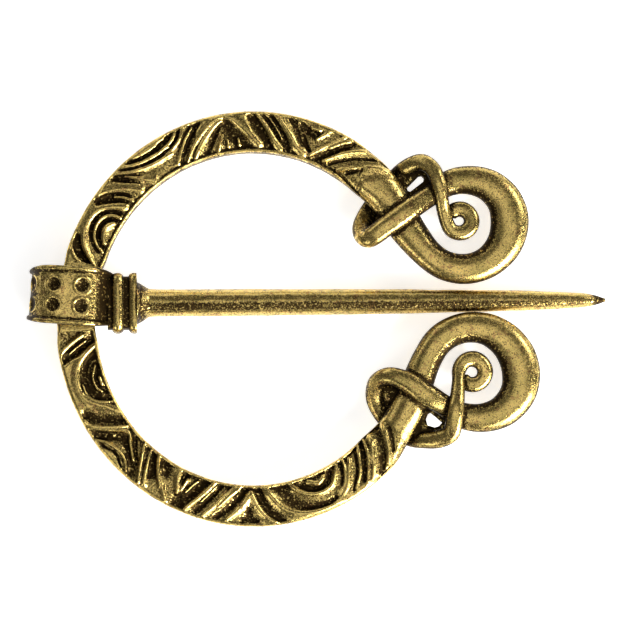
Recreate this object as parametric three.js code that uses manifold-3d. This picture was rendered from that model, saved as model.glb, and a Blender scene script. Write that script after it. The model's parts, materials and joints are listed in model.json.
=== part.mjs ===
// Penannular cloak brooch in antique-gold brass: an open cast hoop whose two ends are flattened into
// rings and knotted round their own necks, and a pin whose collar turns on the bar of the hoop.
// Millimetres, +Z up, the brooch lying on its back and the pin pointing along +X.

import * as THREE from 'three';
import { mergeVertices } from 'three/addons/utils/BufferGeometryUtils.js';
import Module from 'manifold-3d';

const wasm = await Module();
wasm.setup();

// ---------------------------------------------------------------- driving dimensions

// The hoop is a slightly flattened ring, drawn in towards its two ends.
const hoopCentre = new THREE.Vector2(-5.9, 0);
const hoopRadius = 18.77;
const hoopOffset = 0.7;
const hoopFlattening = 0.54;
const hoopWidth = 4.25;
const hoopWidening = 0.12;
const hoopThickness = 2.3;
const hoopEdgeBevel = 0.35;
const lipWidth = 0.38;
const lipSlope = 0.12;
const carvingDepth = 0.34;
const hoopStart = 48;
const hoopEnd = 316;

// The raised lines of the carving stand on the sunk floor, as high as the lips.
const lineRadius = 0.3;
const lineSink = 0.03;

// The collar of the pin and the bar in it.
const collarSpan = 8.84;
const collarHeight = 6.9;
const collarWall = 0.72;
const collarWidth = 6.0;
const collarEndWidth = 5.2;
const collarRim = 0.62;
const collarSunk = 0.26;
const collarBehindBar = 5.05;
const dimpleRadius = 0.72;
const dimpleDepth = 0.3;
const dimpleRowOffset = 1.06;
const dimpleLowest = 66;
const seamTurn = -38;
const seamGap = 0.3;
const plainBarFrom = 162;
const plainBarTo = 184;
const plainBarWidth = 4.0;

// The shaft of the pin.
const ribHalfWidth = 3.08;
const ribHalfHeight = 1.9;
const ribStarts = [3.79, 5.36];
const ribThickness = 0.9;
const ribCorner = 0.45;
const neckInset = 0.35;
const neckStart = 3.04;
const shaftSides = 12;
const shaftReach = 54.8;
const shaftSetDown = 0.62;
const shaftTurn = 4.1;

// How the two pieces lie: the collar and the two knots rest on the ground, and the shaft dips to it.
const hoopTilt = 1.84;
const pinSlope = 2.75;
const pinTurn = -3.5;
const hingeAt = new THREE.Vector2(-24.75, 2.12);
const hingeHeight = 3.35;

// The strand of each knotted end is boxy where it leaves the bar and rounder from the ring onwards.
const boxyFullness = 0.35;
const roundFullness = 0.8;
const boxyStops = 2;
const roundFromStop = 5;
const curlWidth = 1.5;
const curlSwell = 0.2;
const curlTaper = 0.12;

const metal = new THREE.MeshStandardMaterial({ color: 0xb49a52, roughness: 0.34, metalness: 1 });

// ---------------------------------------------------------------- shared makers

const radians = THREE.MathUtils.degToRad;
const lerp = THREE.MathUtils.lerp;
const smooth = THREE.MathUtils.smoothstep;

function solid(geometry) {
  const plain = geometry.clone();
  plain.deleteAttribute('normal');
  plain.deleteAttribute('uv');
  const merged = mergeVertices(plain, 1e-4);
  const vertProperties = Float32Array.from(merged.attributes.position.array);
  const triVerts = Uint32Array.from(merged.index.array);
  return new wasm.Manifold(new wasm.Mesh({ numProp: 3, vertProperties, triVerts }));
}

function join(solids) {
  return solids.reduce((whole, next) => whole.add(next));
}

// The joined body, without the hair-thin slivers that a cut can leave beside it.
function largestBody(whole) {
  return whole.decompose().reduce((best, next) => (next.volume() > best.volume() ? next : best));
}

function toMesh(name, whole) {
  const { vertProperties, triVerts } = largestBody(whole).getMesh();
  const geometry = new THREE.BufferGeometry();
  geometry.setAttribute('position', new THREE.BufferAttribute(vertProperties, 3));
  geometry.setIndex(new THREE.BufferAttribute(triVerts, 1));
  geometry.computeVertexNormals();
  const mesh = new THREE.Mesh(geometry, metal);
  mesh.name = name;
  return mesh;
}

// Skins a row of closed outlines into one solid. Each outline is a list of flat points, and its place
// gives the point and the two directions that carry it along the path.
function loft(places, outlines) {
  const sides = outlines[0].length;
  const positions = [];
  places.forEach((place, step) => {
    for (const { x, y } of outlines[step]) {
      const point = place.point.clone().addScaledVector(place.across, x).addScaledVector(place.up, y);
      positions.push(...point.toArray());
    }
  });
  const faces = [];
  for (let step = 0; step < places.length - 1; step += 1) {
    for (let side = 0; side < sides; side += 1) {
      const near = step * sides + side;
      const nearNext = step * sides + ((side + 1) % sides);
      faces.push(near, nearNext, nearNext + sides, near, nearNext + sides, near + sides);
    }
  }
  const last = (places.length - 1) * sides;
  for (const [a, b, c] of THREE.ShapeUtils.triangulateShape(outlines[0], [])) {
    faces.push(c, b, a);
  }
  for (const [a, b, c] of THREE.ShapeUtils.triangulateShape(outlines.at(-1), [])) {
    faces.push(last + a, last + b, last + c);
  }
  const geometry = new THREE.BufferGeometry();
  geometry.setAttribute('position', new THREE.Float32BufferAttribute(positions, 3));
  geometry.setIndex(faces);
  return geometry;
}

// The place of an outline on a path that runs mostly level: across is level, up leans with the path.
function levelPlace(point, tangent) {
  const across = new THREE.Vector3(0, 0, 1).cross(tangent).normalize();
  const up = tangent.clone().cross(across).normalize();
  return { point, across, up };
}

// An oval that turns boxier as fullness goes from 1 down to 0.
function oval(width, height, sides, fullness) {
  const bulge = (value) => Math.sign(value) * Math.abs(value) ** fullness;
  return Array.from({ length: sides }, (_, side) => {
    const angle = ((side + 0.5) / sides) * 2 * Math.PI;
    return new THREE.Vector2((width / 2) * bulge(Math.cos(angle)), (height / 2) * bulge(Math.sin(angle)));
  });
}

// ---------------------------------------------------------------- the hoop's bar and its carving

function hoopWidthAt(angle) {
  return hoopWidth + hoopWidening * Math.cos(radians(angle));
}

// A point over the hoop: angle round it in degrees, across from -1 at the inner edge to 1 at the outer.
function hoopPoint(angle, across, height) {
  const turn = radians(angle);
  const middle = hoopRadius - hoopOffset * Math.cos(turn) - hoopFlattening * Math.cos(2 * turn);
  const radius = middle + (across * hoopWidthAt(angle)) / 2;
  return new THREE.Vector3(radius * Math.cos(turn), radius * Math.sin(turn), height);
}

function barOutline(width, thickness, depth) {
  const side = width / 2;
  const top = thickness / 2;
  const half = [
    [side - hoopEdgeBevel, -top],
    [side, -top + hoopEdgeBevel],
    [side, top - hoopEdgeBevel],
    [side - 0.6 * hoopEdgeBevel, top],
    [side - lipWidth, top],
    [side - lipWidth - lipSlope, top - depth],
  ];
  const mirrored = half.map(([x, y]) => [-x, y]).reverse();
  return [...half, ...mirrored].map(([x, y]) => new THREE.Vector2(x, y));
}

function hoopBar() {
  const steps = 47;
  const places = [];
  const outlines = [];
  for (let step = 0; step <= steps; step += 1) {
    const angle = lerp(hoopStart, hoopEnd, step / steps);
    const ahead = hoopPoint(angle + 0.5, 0, 0).sub(hoopPoint(angle - 0.5, 0, 0)).normalize();
    const plain = smooth(angle, plainBarFrom - 3, plainBarFrom) - smooth(angle, plainBarTo, plainBarTo + 3);
    const full = smooth(angle, hoopStart, hoopStart + 5) - smooth(angle, hoopEnd - 5, hoopEnd);
    const width = lerp(hoopWidthAt(angle), plainBarWidth, plain) * lerp(0.75, 1, full);
    places.push(levelPlace(hoopPoint(angle, 0, 0), ahead));
    outlines.push(barOutline(width, hoopThickness * lerp(0.7, 1, full), carvingDepth * full));
  }
  return solid(loft(places, outlines));
}

// A raised line of the carving through a few places given as [angle, across].
function raisedLine(spots, steps, radius = lineRadius) {
  const floor = hoopThickness / 2 - carvingDepth + lineSink;
  const line = new THREE.CatmullRomCurve3(spots.map(([angle, across]) => hoopPoint(angle, across, floor)));
  const ridge = [[1, -0.4], [0.5, 1], [-0.5, 1], [-1, -0.4]].map(
    ([x, y]) => new THREE.Vector2(x * radius, y * radius),
  );
  const places = [];
  const outlines = [];
  for (let step = 0; step <= steps; step += 1) {
    places.push(levelPlace(line.getPoint(step / steps), line.getTangent(step / steps)));
    outlines.push(ridge);
  }
  return solid(loft(places, outlines));
}

const edgeAcross = 0.86;

// Nested arches that stand on one edge of the hoop: edge is -1 for the inner edge, 1 for the outer.
function arches({ at, halfSpan, reach, count, edge }) {
  return Array.from({ length: count }, (_, ring) => {
    const share = 1 - ring / count;
    const spots = Array.from({ length: 7 }, (_, stop) => {
      const turn = (stop / 6) * Math.PI;
      return [at + halfSpan * share * Math.cos(turn), edge * (edgeAcross - reach * share * Math.sin(turn))];
    });
    return raisedLine(spots, ring === count - 1 ? 4 : 6);
  });
}

// A run of slanted lines from the outer edge to the inner edge, bowed a little.
function slants({ outer, inner, count, bow = 0 }) {
  return Array.from({ length: count }, (_, index) => {
    const share = count === 1 ? 0 : index / (count - 1);
    const from = lerp(outer[0], outer.at(-1), share);
    const to = lerp(inner[0], inner.at(-1), share);
    return raisedLine([[from, edgeAcross], [(from + to) / 2 + bow, 0], [to, -edgeAcross]], 3);
  });
}

function carving() {
  return [
    ...slants({ outer: [48, 64.5], inner: [59, 72.7], count: 4, bow: 1 }),
    ...arches({ at: 75, halfSpan: 3.4, reach: 0.75, count: 1, edge: 1 }),
    ...slants({ outer: [85, 93], inner: [76, 88.8], count: 3, bow: -1 }),
    ...arches({ at: 101.5, halfSpan: 12, reach: 1.5, count: 3, edge: -1 }),
    ...slants({ outer: [109.7], inner: [117.9], count: 1, bow: 0.5 }),
    ...arches({ at: 123, halfSpan: 12, reach: 0.95, count: 2, edge: 1 }),
    ...slants({ outer: [136.5, 145], inner: [128.5, 138], count: 3, bow: -1 }),
    ...arches({ at: 150.9, halfSpan: 11.6, reach: 1.3, count: 3, edge: -1 }),
    ...slants({ outer: [189.6, 192.7], inner: [185.5, 188], count: 2 }),
    ...arches({ at: 200.6, halfSpan: 11, reach: 1.4, count: 3, edge: -1 }),
    ...slants({ outer: [209, 212], inner: [215, 221], count: 2, bow: -0.5 }),
    ...arches({ at: 222.7, halfSpan: 8, reach: 1.1, count: 2, edge: 1 }),
    ...slants({ outer: [233.8, 242.5], inner: [226.6, 236.5], count: 4, bow: -0.5 }),
    ...slants({ outer: [246.5], inner: [244], count: 1 }),
    ...slants({ outer: [249, 259.6], inner: [255, 268], count: 3, bow: -0.5 }),
    ...slants({ outer: [275], inner: [265.5], count: 1 }),
    ...arches({ at: 288, halfSpan: 16, reach: 1.5, count: 4, edge: -1 }),
    ...slants({ outer: [304.3, 310], inner: [312.5, 318], count: 2, bow: -0.5 }),
  ];
}

// ---------------------------------------------------------------- the knotted ends of the hoop

// The strand of each end is a list of stops {x, y, z, width, height}, from the hoop to the curl's tip.
const stop = (x, y, z, width, height) => ({ x, y, z, width, height });

// Stops on a turn round a centre. side 1 turns anticlockwise and -1 is its mirror image.
function turnStops({ centre, side, from, to, count, radius, width, height, z }) {
  return Array.from({ length: count }, (_, index) => {
    const share = index / (count - 1);
    const turn = radians(side * lerp(from, to, share));
    const reach = radius(share);
    return stop(
      centre.x + reach * Math.cos(turn),
      centre.y + reach * Math.sin(turn),
      z(share),
      width(share),
      height(share),
    );
  });
}

// The flattened ring: widest half way round, and drawn inwards as it ends.
function ringStops(centre, side, from, radius, drawnIn) {
  return turnStops({
    centre,
    side,
    from,
    to: 108,
    count: 10,
    radius: (share) => radius - drawnIn * smooth(share, 0.65, 1),
    width: (share) => 3.1 + 0.9 * Math.exp(-(((share - 0.56) / 0.2) ** 2)) - 0.4 * smooth(share, 0.8, 1),
    height: (share) => 2.5 - 0.6 * smooth(share, 0.7, 1),
    z: () => 0,
  });
}

// The small curl that ends the strand, level with the ring that it lies in.
function curlStops(centre, side, from, radius) {
  return turnStops({
    centre,
    side,
    from,
    to: 500,
    count: 8,
    radius: (share) => radius * (1 - 0.1 * share),
    width: (share) => curlWidth + curlSwell * smooth(share, 0, 0.25) - curlTaper * share,
    height: (share) => 1.5 - 0.3 * share,
    z: (share) => 0.45 - 0.35 * share,
  });
}

// Makes a strand from its stops, in lengths that meet face to face at the numbered stops.
function strand(stops, meetings, sides, stepsPerStop) {
  const spine = new THREE.CatmullRomCurve3(stops.map(({ x, y, z }) => new THREE.Vector3(x, y, z)));
  const widthsAndHeights = stops.map(({ width, height }) => new THREE.Vector3(width, height, 0));
  const sizes = new THREE.CatmullRomCurve3(widthsAndHeights);
  const total = (stops.length - 1) * stepsPerStop;
  const places = [];
  const outlines = [];
  for (let step = 0; step <= total; step += 1) {
    const size = sizes.getPoint(step / total);
    const rounded = smooth(step, boxyStops * stepsPerStop, roundFromStop * stepsPerStop);
    places.push(levelPlace(spine.getPoint(step / total), spine.getTangent(step / total)));
    outlines.push(oval(size.x, size.y, sides, lerp(boxyFullness, roundFullness, rounded)));
  }
  const ends = [0, ...meetings.map((meeting) => meeting * stepsPerStop), total];
  return ends.slice(1).map((end, index) => {
    const start = ends[index];
    return solid(loft(places.slice(start, end + 1), outlines.slice(start, end + 1)));
  });
}

// One end of the hoop: the strand is parted where it would cross itself.
function knottedStrand(toRing, ring, strap, behind, overRing, curl) {
  const stops = [toRing, ring, strap, behind, overRing, curl];
  const starts = stops.map((_, index) => stops.slice(0, index).flat().length);
  return strand(stops.flat(), [starts[2], starts[3] + 2, starts[5] + 3], 8, 2);
}

function upperEnd() {
  const ringCentre = new THREE.Vector2(20.98, 10.09);
  const curlCentre = new THREE.Vector2(20.66, 10.2);
  const toRing = [
    stop(9.7, 16.0, 0, 3.9, 1.7),
    stop(11.1, 14.85, 0, 4.25, 2.32),
    stop(12.45, 13.5, 0, 4.2, 2.36),
    stop(13.75, 11.9, 0, 3.9, 2.35),
    stop(15.1, 9.6, 0, 3.8, 2.4),
  ];
  const strap = [
    stop(17.65, 12.75, 0.7, 2.2, 1.8),
    stop(15.5, 11.25, 1.35, 2.2, 1.6),
    stop(13.2, 9.65, 1.35, 2.15, 1.6),
    stop(11.2, 8.35, 0.7, 2.1, 1.8),
  ];
  const behind = [
    stop(10.65, 9.4, -0.8, 2.2, 1.7),
    stop(11.5, 11.1, -1.6, 2.4, 1.5),
    stop(12.6, 13.2, -1.65, 1.7, 1.5),
    stop(14.0, 14.8, -1.3, 1.7, 1.5),
    stop(15.3, 15.8, -0.2, 1.75, 1.6),
  ];
  const overRing = [
    stop(16.7, 16.2, 0.7, 1.75, 1.6),
    stop(17.8, 15.5, 1.25, 1.65, 1.5),
    stop(18.4, 13.9, 1.55, 1.55, 1.4),
    stop(18.7, 12.5, 1.3, 1.45, 1.4),
    stop(19.0, 11.0, 0.8, 1.45, 1.45),
  ];
  const ring = ringStops(ringCentre, 1, -138, 4.9, 0.64);
  const curl = curlStops(curlCentre, 1, 222, 1.32);
  const floor = [[14.3, 12.9], [16.6, 11.7], [18.4, 13.3], [18.0, 15.2], [16.2, 15.9], [14.2, 15.0]];
  const slot = [[15.3, 13.75], [15.6, 13.35], [16.95, 14.35], [16.85, 14.85], [16.45, 14.9]];
  const corner = [[11.6, 9.4], [13.3, 8.9], [13.6, 11.0], [12.4, 11.6]];
  return [...knottedStrand(toRing, ring, strap, behind, overRing, curl), web(floor, slot), web(corner)];
}

// The thin metal left between the strands of a knot, with the holes that go through it. All of them
// run anticlockwise.
function web(floor, ...holes) {
  const toPoints = (corners) => corners.map(([x, y]) => new THREE.Vector2(x, y));
  const outline = new THREE.Shape(toPoints(floor));
  outline.holes.push(...holes.map((hole) => new THREE.Path(toPoints(hole))));
  const plate = new THREE.ExtrudeGeometry(outline, { depth: 1, bevelEnabled: false });
  plate.translate(0, 0, -0.9);
  return solid(plate);
}

function lowerEnd() {
  const ringCentre = new THREE.Vector2(21.98, -5.87);
  const curlCentre = new THREE.Vector2(21.93, -5.5);
  const toRing = [
    stop(9.7, -16.0, 0, 3.9, 1.7),
    stop(11.1, -14.8, 0, 4.25, 2.32),
    stop(12.55, -13.35, 0, 4.2, 2.36),
    stop(14.0, -11.5, 0, 3.9, 2.35),
    stop(15.45, -9.0, 0, 3.8, 2.4),
  ];
  const strap = [
    stop(19.0, -8.95, 0.7, 2.2, 1.8),
    stop(17.1, -7.85, 1.35, 2.4, 1.6),
    stop(14.9, -6.45, 1.35, 2.1, 1.6),
    stop(13.2, -5.95, 1.0, 1.8, 1.7),
    stop(12.05, -6.5, -0.1, 1.7, 1.7),
  ];
  const behind = [
    stop(12.15, -8.0, -1.2, 2.4, 1.6),
    stop(12.8, -9.6, -1.65, 2.2, 1.5),
    stop(14.1, -11.3, -1.65, 1.7, 1.5),
    stop(15.6, -12.3, -1.1, 1.7, 1.5),
    stop(17.0, -12.5, -0.2, 1.8, 1.6),
  ];
  const overRing = [
    stop(18.5, -12.4, 0.6, 1.9, 1.6),
    stop(19.65, -11.85, 1.15, 1.8, 1.5),
    stop(19.95, -10.4, 1.55, 1.75, 1.45),
    stop(20.15, -9.0, 1.55, 1.65, 1.4),
    stop(20.35, -7.6, 1.1, 1.45, 1.4),
    stop(20.45, -6.3, 0.7, 1.3, 1.4),
  ];
  const ring = ringStops(ringCentre, -1, -160, 5.03, 0.78);
  const curl = curlStops(curlCentre, -1, 190, 1.4);
  const floor = [[16.2, -12.6], [19.2, -12.3], [19.9, -10.8], [18.9, -8.6], [15.8, -9.3], [15.2, -11.0]];
  const hole = [[17.05, -9.95], [17.7, -9.6], [18.8, -10.6], [17.95, -11.15]];
  const corner = [[12.4, -6.6], [13.0, -9.0], [14.2, -8.8], [14.8, -7.0]];
  return [...knottedStrand(toRing, ring, strap, behind, overRing, curl), web(floor, hole), web(corner)];
}

// ---------------------------------------------------------------- the pin

// The collar is a strip bent round a slot shape, widest over the top and open at a seam below the ribs.
const slotRadius = (collarHeight - collarWall) / 2;
const slotLeft = -collarBehindBar + collarHeight / 2;
const slotRight = slotLeft + collarSpan - collarHeight;

function collarPath() {
  const path = new THREE.CurvePath();
  const corner = (x, z) => new THREE.Vector3(x, 0, z);
  const seamAngle = radians(seamTurn);
  const arcPoints = (centre, from, to) => new THREE.CatmullRomCurve3(
    Array.from({ length: 13 }, (_, index) => {
      const turn = lerp(from, to, index / 12);
      return corner(centre + slotRadius * Math.cos(turn), slotRadius * Math.sin(turn));
    }),
  );
  path.add(arcPoints(slotRight, seamAngle + 0.05, Math.PI / 2));
  path.add(new THREE.LineCurve3(corner(slotRight, slotRadius), corner(slotLeft, slotRadius)));
  path.add(arcPoints(slotLeft, Math.PI / 2, Math.PI * 1.5));
  path.add(new THREE.LineCurve3(corner(slotLeft, -slotRadius), corner(slotRight, -slotRadius)));
  path.add(arcPoints(slotRight, -Math.PI / 2, seamAngle - seamGap / slotRadius));
  return path;
}

function stripOutline(width) {
  const side = width / 2;
  const inner = -collarWall / 2;
  const rim = collarWall / 2;
  const half = [
    [side - 0.08, inner],
    [side, inner + 0.15],
    [side - 0.06, rim - 0.14],
    [side - 0.2, rim],
    [side - collarRim + 0.2, rim],
    [side - collarRim, rim - collarSunk],
  ];
  const mirrored = half.map(([x, y]) => [-x, y]).reverse();
  return [...half, ...mirrored].map(([x, y]) => new THREE.Vector2(x, y));
}

function collar() {
  const path = collarPath();
  const steps = 26;
  const places = [];
  const outlines = [];
  for (let step = 0; step <= steps; step += 1) {
    const point = path.getPointAt(1 - step / steps);
    const tangent = path.getTangentAt(1 - step / steps).negate();
    const across = new THREE.Vector3(0, 1, 0);
    const up = tangent.clone().cross(across).normalize();
    const crown = smooth(point.z, 0, slotRadius);
    places.push({ point, across, up });
    outlines.push(stripOutline(lerp(collarEndWidth, collarWidth, crown)));
  }
  return solid(loft(places, outlines));
}

// Round hollows punched in two rows over the top and down the closed side of the collar.
function dimples() {
  const floor = slotRadius + collarWall / 2 - collarSunk;
  const ballRadius = (dimpleRadius ** 2 + dimpleDepth ** 2) / (2 * dimpleDepth);
  const spots = [];
  for (const row of [-dimpleRowOffset, dimpleRowOffset]) {
    for (const x of [0.35, slotLeft - 1]) {
      const lean = x < slotLeft ? Math.asin((slotLeft - x) / floor) : 0;
      spots.push({ row, x: Math.max(x, slotLeft), lean });
    }
    spots.push({ row, x: slotLeft, lean: radians(dimpleLowest) });
  }
  return spots.map(({ row, x, lean }) => {
    const ball = new THREE.SphereGeometry(ballRadius, 8, 6);
    const reach = floor + ballRadius - dimpleDepth;
    ball.translate(x - reach * Math.sin(lean), row, reach * Math.cos(lean));
    return solid(ball);
  });
}

// A block with rounded corners across the shaft, from one distance along it to another.
function crossBlock(from, thickness, halfWidth, halfHeight, corner) {
  const outline = new THREE.Shape();
  const quarter = Math.PI / 2;
  const inWidth = halfWidth - corner;
  const inHeight = halfHeight - corner;
  outline.absarc(inHeight, inWidth, corner, 0, quarter);
  outline.absarc(-inHeight, inWidth, corner, quarter, 2 * quarter);
  outline.absarc(-inHeight, -inWidth, corner, 2 * quarter, 3 * quarter);
  outline.absarc(inHeight, -inWidth, corner, 3 * quarter, 4 * quarter);
  const bevel = 0.2;
  const block = new THREE.ExtrudeGeometry(outline, {
    depth: thickness - 2 * bevel,
    curveSegments: 3,
    bevelThickness: bevel,
    bevelSize: bevel,
    bevelOffset: -bevel,
    bevelSegments: 1,
  });
  block.translate(0, 0, from + bevel);
  return block.rotateY(Math.PI / 2);
}

// The shaft is turned round its own axis: flared at the ribs, slowly tapered, then drawn to a point.
function shaftBar() {
  const profile = [
    [5.9, 0],
    [5.9, 2.1],
    [6.4, 2.1],
    [7.5, 1.5],
    [9.8, 1.42],
    [17.3, 1.42],
    [25, 1.36],
    [34, 1.28],
    [40.5, 1.16],
    [46.5, 1.05],
    [50, 0.92],
    [52.6, 0.76],
    [53.9, 0.5],
    [shaftReach - 0.15, 0.2],
    [shaftReach, 0],
  ];
  const points = profile.map(([along, radius]) => new THREE.Vector2(radius, along));
  const bar = new THREE.LatheGeometry(points, shaftSides);
  bar.rotateZ(-Math.PI / 2);
  return bar;
}

function shaftSolid() {
  const neckLength = ribStarts[1] + ribThickness / 2 - neckStart;
  const blocks = [
    crossBlock(neckStart, neckLength, ribHalfWidth - neckInset, ribHalfHeight - neckInset, ribCorner),
    ...ribStarts.map((start) => crossBlock(start, ribThickness, ribHalfWidth, ribHalfHeight, ribCorner)),
    shaftBar(),
  ];
  return blocks.map((block) => {
    block.rotateZ(radians(shaftTurn));
    block.translate(0, -shaftSetDown, 0);
    return solid(block);
  });
}

// The room that the collar keeps for the bar, so that nothing of the neck fills it.
function collarRoom() {
  const inside = (collarHeight - 2 * collarWall) / 2;
  const outline = new THREE.Shape();
  outline.absarc(slotRight, 0, inside, -Math.PI / 2, Math.PI / 2);
  outline.absarc(slotLeft, 0, inside, Math.PI / 2, Math.PI * 1.5);
  const room = new THREE.ExtrudeGeometry(outline, { depth: 9, curveSegments: 10, bevelEnabled: false });
  room.translate(0, 0, -4.5);
  room.rotateX(Math.PI / 2);
  return solid(room);
}

// ---------------------------------------------------------------- the two pieces where they lie

// The ground under a piece that is turned by the given slope and raised to the given height.
function ground(height, slope) {
  const block = new THREE.BoxGeometry(140, 80, 10);
  block.translate(0, 0, -height - 5);
  block.rotateY(-radians(slope));
  return solid(block);
}

const brooch = new THREE.Group();

const hoopGroup = new THREE.Group();
const hoopLift = hingeHeight + (hingeAt.x - hoopCentre.x) * Math.sin(radians(hoopTilt));
hoopGroup.position.set(hoopCentre.x, hoopCentre.y, hoopLift);
hoopGroup.rotation.y = radians(hoopTilt);
const hoopSolid = join([hoopBar(), ...carving(), ...upperEnd(), ...lowerEnd()]);
hoopGroup.add(toMesh('hoop', hoopSolid.subtract(ground(hoopLift, hoopTilt))));

const pinGroup = new THREE.Group();
pinGroup.position.set(hingeAt.x, hingeAt.y, hingeHeight);
pinGroup.rotation.order = 'ZYX';
pinGroup.rotation.z = radians(pinTurn);
pinGroup.rotation.y = radians(pinSlope);
const collarSolid = dimples().reduce((left, dimple) => left.subtract(dimple), collar());
const pinSolid = join(shaftSolid()).subtract(collarRoom()).add(collarSolid);
pinGroup.add(toMesh('pin', pinSolid.subtract(ground(hingeHeight, pinSlope))));

brooch.add(hoopGroup, pinGroup);
export default brooch;
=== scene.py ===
import json
import math

import bmesh
import bpy
import numpy as np
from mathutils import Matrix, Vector


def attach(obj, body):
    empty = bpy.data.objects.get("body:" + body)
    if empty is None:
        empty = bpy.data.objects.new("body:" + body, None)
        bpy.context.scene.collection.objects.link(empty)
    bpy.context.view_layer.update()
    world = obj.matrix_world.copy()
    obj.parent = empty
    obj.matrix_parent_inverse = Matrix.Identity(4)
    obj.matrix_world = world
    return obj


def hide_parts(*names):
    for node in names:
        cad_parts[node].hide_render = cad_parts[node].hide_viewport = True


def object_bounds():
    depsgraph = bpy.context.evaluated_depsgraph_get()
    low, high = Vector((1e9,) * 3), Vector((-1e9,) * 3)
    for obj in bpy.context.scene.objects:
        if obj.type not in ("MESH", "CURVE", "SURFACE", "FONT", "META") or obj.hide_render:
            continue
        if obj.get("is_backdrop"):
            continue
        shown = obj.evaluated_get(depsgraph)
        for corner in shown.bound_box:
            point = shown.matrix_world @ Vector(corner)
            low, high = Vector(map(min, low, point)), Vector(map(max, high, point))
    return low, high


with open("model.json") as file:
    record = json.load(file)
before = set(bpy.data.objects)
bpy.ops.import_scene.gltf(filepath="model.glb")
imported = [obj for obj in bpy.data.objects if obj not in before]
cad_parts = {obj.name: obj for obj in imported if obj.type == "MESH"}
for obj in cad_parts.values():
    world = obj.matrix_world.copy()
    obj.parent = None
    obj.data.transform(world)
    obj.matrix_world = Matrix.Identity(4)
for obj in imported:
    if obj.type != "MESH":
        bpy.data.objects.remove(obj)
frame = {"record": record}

cad_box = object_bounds()

# ---------------------------------------------------------------- the hoop
# One brass casting: a flat bar bent into an open ring, carved over its face, whose two ends narrow
# into round strands. Each strand makes a flat ring, straps over its own neck, passes behind it, comes
# up over the ring and ends in a small curl. It is gilt, and then darkened in every hollow. That darkening
# is dark oxide with painted shade, and painted shade also darkens its steep walls and the webs.

# Lengths are millimetres until a casting is laid in its place. The hoop's own lengths start from its
# centre, and its angles are degrees that start from the middle of the opening.
MM = 0.001
lowest, highest = np.array(cad_box) / MM
HINGE = np.array(frame["record"]["behaviour"]["joints"][0]["pos_m"]) / MM
CENTRE_TO_HINGE, HINGE_ASIDE = 18.85, 2.12
HOOP_TILT = math.radians(1.84)
HOOP_PLACE = HINGE + [CENTRE_TO_HINGE, -HINGE_ASIDE, -CENTRE_TO_HINGE * math.sin(HOOP_TILT)]

HOOP_RADIUS, HOOP_SHIFT, HOOP_SQUEEZE = 18.77, 0.7, 0.54
BAR_HALF_WIDTH, BAR_HALF_HEIGHT, BAR_BEVEL, BAR_FULLNESS = 2.125, 1.15, 0.34, 0.55
BAR_FROM, BAR_TO, BAR_STOP_EVERY = 52, 314, 4.0
CARVED_FROM, CARVED_TO = 42, 322
# The bar is plain and a little narrower where the collar rides.
PLAIN_FROM, PLAIN_TO, PLAIN_NARROWING = 163, 184, 0.25
STRAND_STEP, BAR_STEP = 0.25, 0.1

UPPER_RING, LOWER_RING = (20.98, 10.09), (21.98, -5.87)
RING_END, RING_STOPS = 108, 10
RING_WIDTH, RING_BELLY, BELLY_AT, BELLY_SPREAD, RING_NARROWING = 3.1, 0.9, 0.56, 0.2, 0.4
RING_HEIGHT, RING_THINNING = 2.5, 0.6
CURL_END, CURL_STOPS = 522, 9
CURL_WIDTH, CURL_SWELL, CURL_NARROWING = 1.5, 0.2, 0.12
CURL_HEIGHT, CURL_THINNING, CURL_RISE, CURL_FALL = 1.5, 0.3, 0.45, 0.35


def smooth(value, low, high):
    """0 below low and 1 above high, with a soft change between them."""
    share = np.clip((np.asarray(value, float) - low) / (high - low), 0, 1)
    return share * share * (3 - 2 * share)


def stretch(value, low, rising, falling, high):
    """1 from rising to falling, with a soft change to 0 at low and at high."""
    return smooth(value, low, rising) * (1 - smooth(value, falling, high))


def bump(value, middle, spread):
    """1 at the middle, falling to nothing on either side."""
    return np.exp(-(((value - middle) / spread) ** 2))


def unit(vectors):
    return vectors / np.maximum(np.linalg.norm(vectors, axis=-1, keepdims=True), 1e-12)


def middle_radius(degrees):
    """How far the middle of the bar is from the centre of the hoop."""
    turn = np.radians(degrees)
    return HOOP_RADIUS - HOOP_SHIFT * np.cos(turn) - HOOP_SQUEEZE * np.cos(2 * turn)


# A stop on the strand is x, y, z, width, height, how round its section is (0 for the bar's section, 1
# for a rounded one) and how full that rounded one is (1 for an ellipse, less for squarer corners).
def round_stops(rows, fullness=0.8):
    return [[*row, 1.0, fullness] for row in rows]


def turn_stops(centre, side, turns, count, shape):
    """Stops that wind round a centre. Their shape is their radius, rise, width and height by share."""
    rows = []
    for share in np.linspace(0, 1, count):
        turn = math.radians(side * (turns[0] + (turns[1] - turns[0]) * share))
        radius, *rest = shape(share)
        rows.append([centre[0] + radius * math.cos(turn), centre[1] + radius * math.sin(turn), *rest])
    return rows


def ring_stops(centre, side, start, radius, drawn_in):
    """The flat ring, which narrows, thins and draws in towards its strap."""

    def shape(share):
        belly = RING_BELLY * bump(share, BELLY_AT, BELLY_SPREAD)
        width = RING_WIDTH + belly - RING_NARROWING * smooth(share, 0.8, 1)
        height = RING_HEIGHT - RING_THINNING * smooth(share, 0.7, 1)
        return radius - drawn_in * smooth(share, 0.65, 1), 0, width, height

    return round_stops(turn_stops(centre, side, (start, RING_END), RING_STOPS, shape), 0.85)


def curl_stops(centre, side, start, radius):
    """The curl, which winds in and down."""

    def shape(share):
        width = CURL_WIDTH + CURL_SWELL * smooth(share, 0, 0.25) - CURL_NARROWING * share
        height = CURL_HEIGHT - CURL_THINNING * share
        return radius * (1 - 0.1 * share), CURL_RISE - CURL_FALL * share, width, height

    return round_stops(turn_stops(centre, side, (start, CURL_END), CURL_STOPS, shape))


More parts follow.
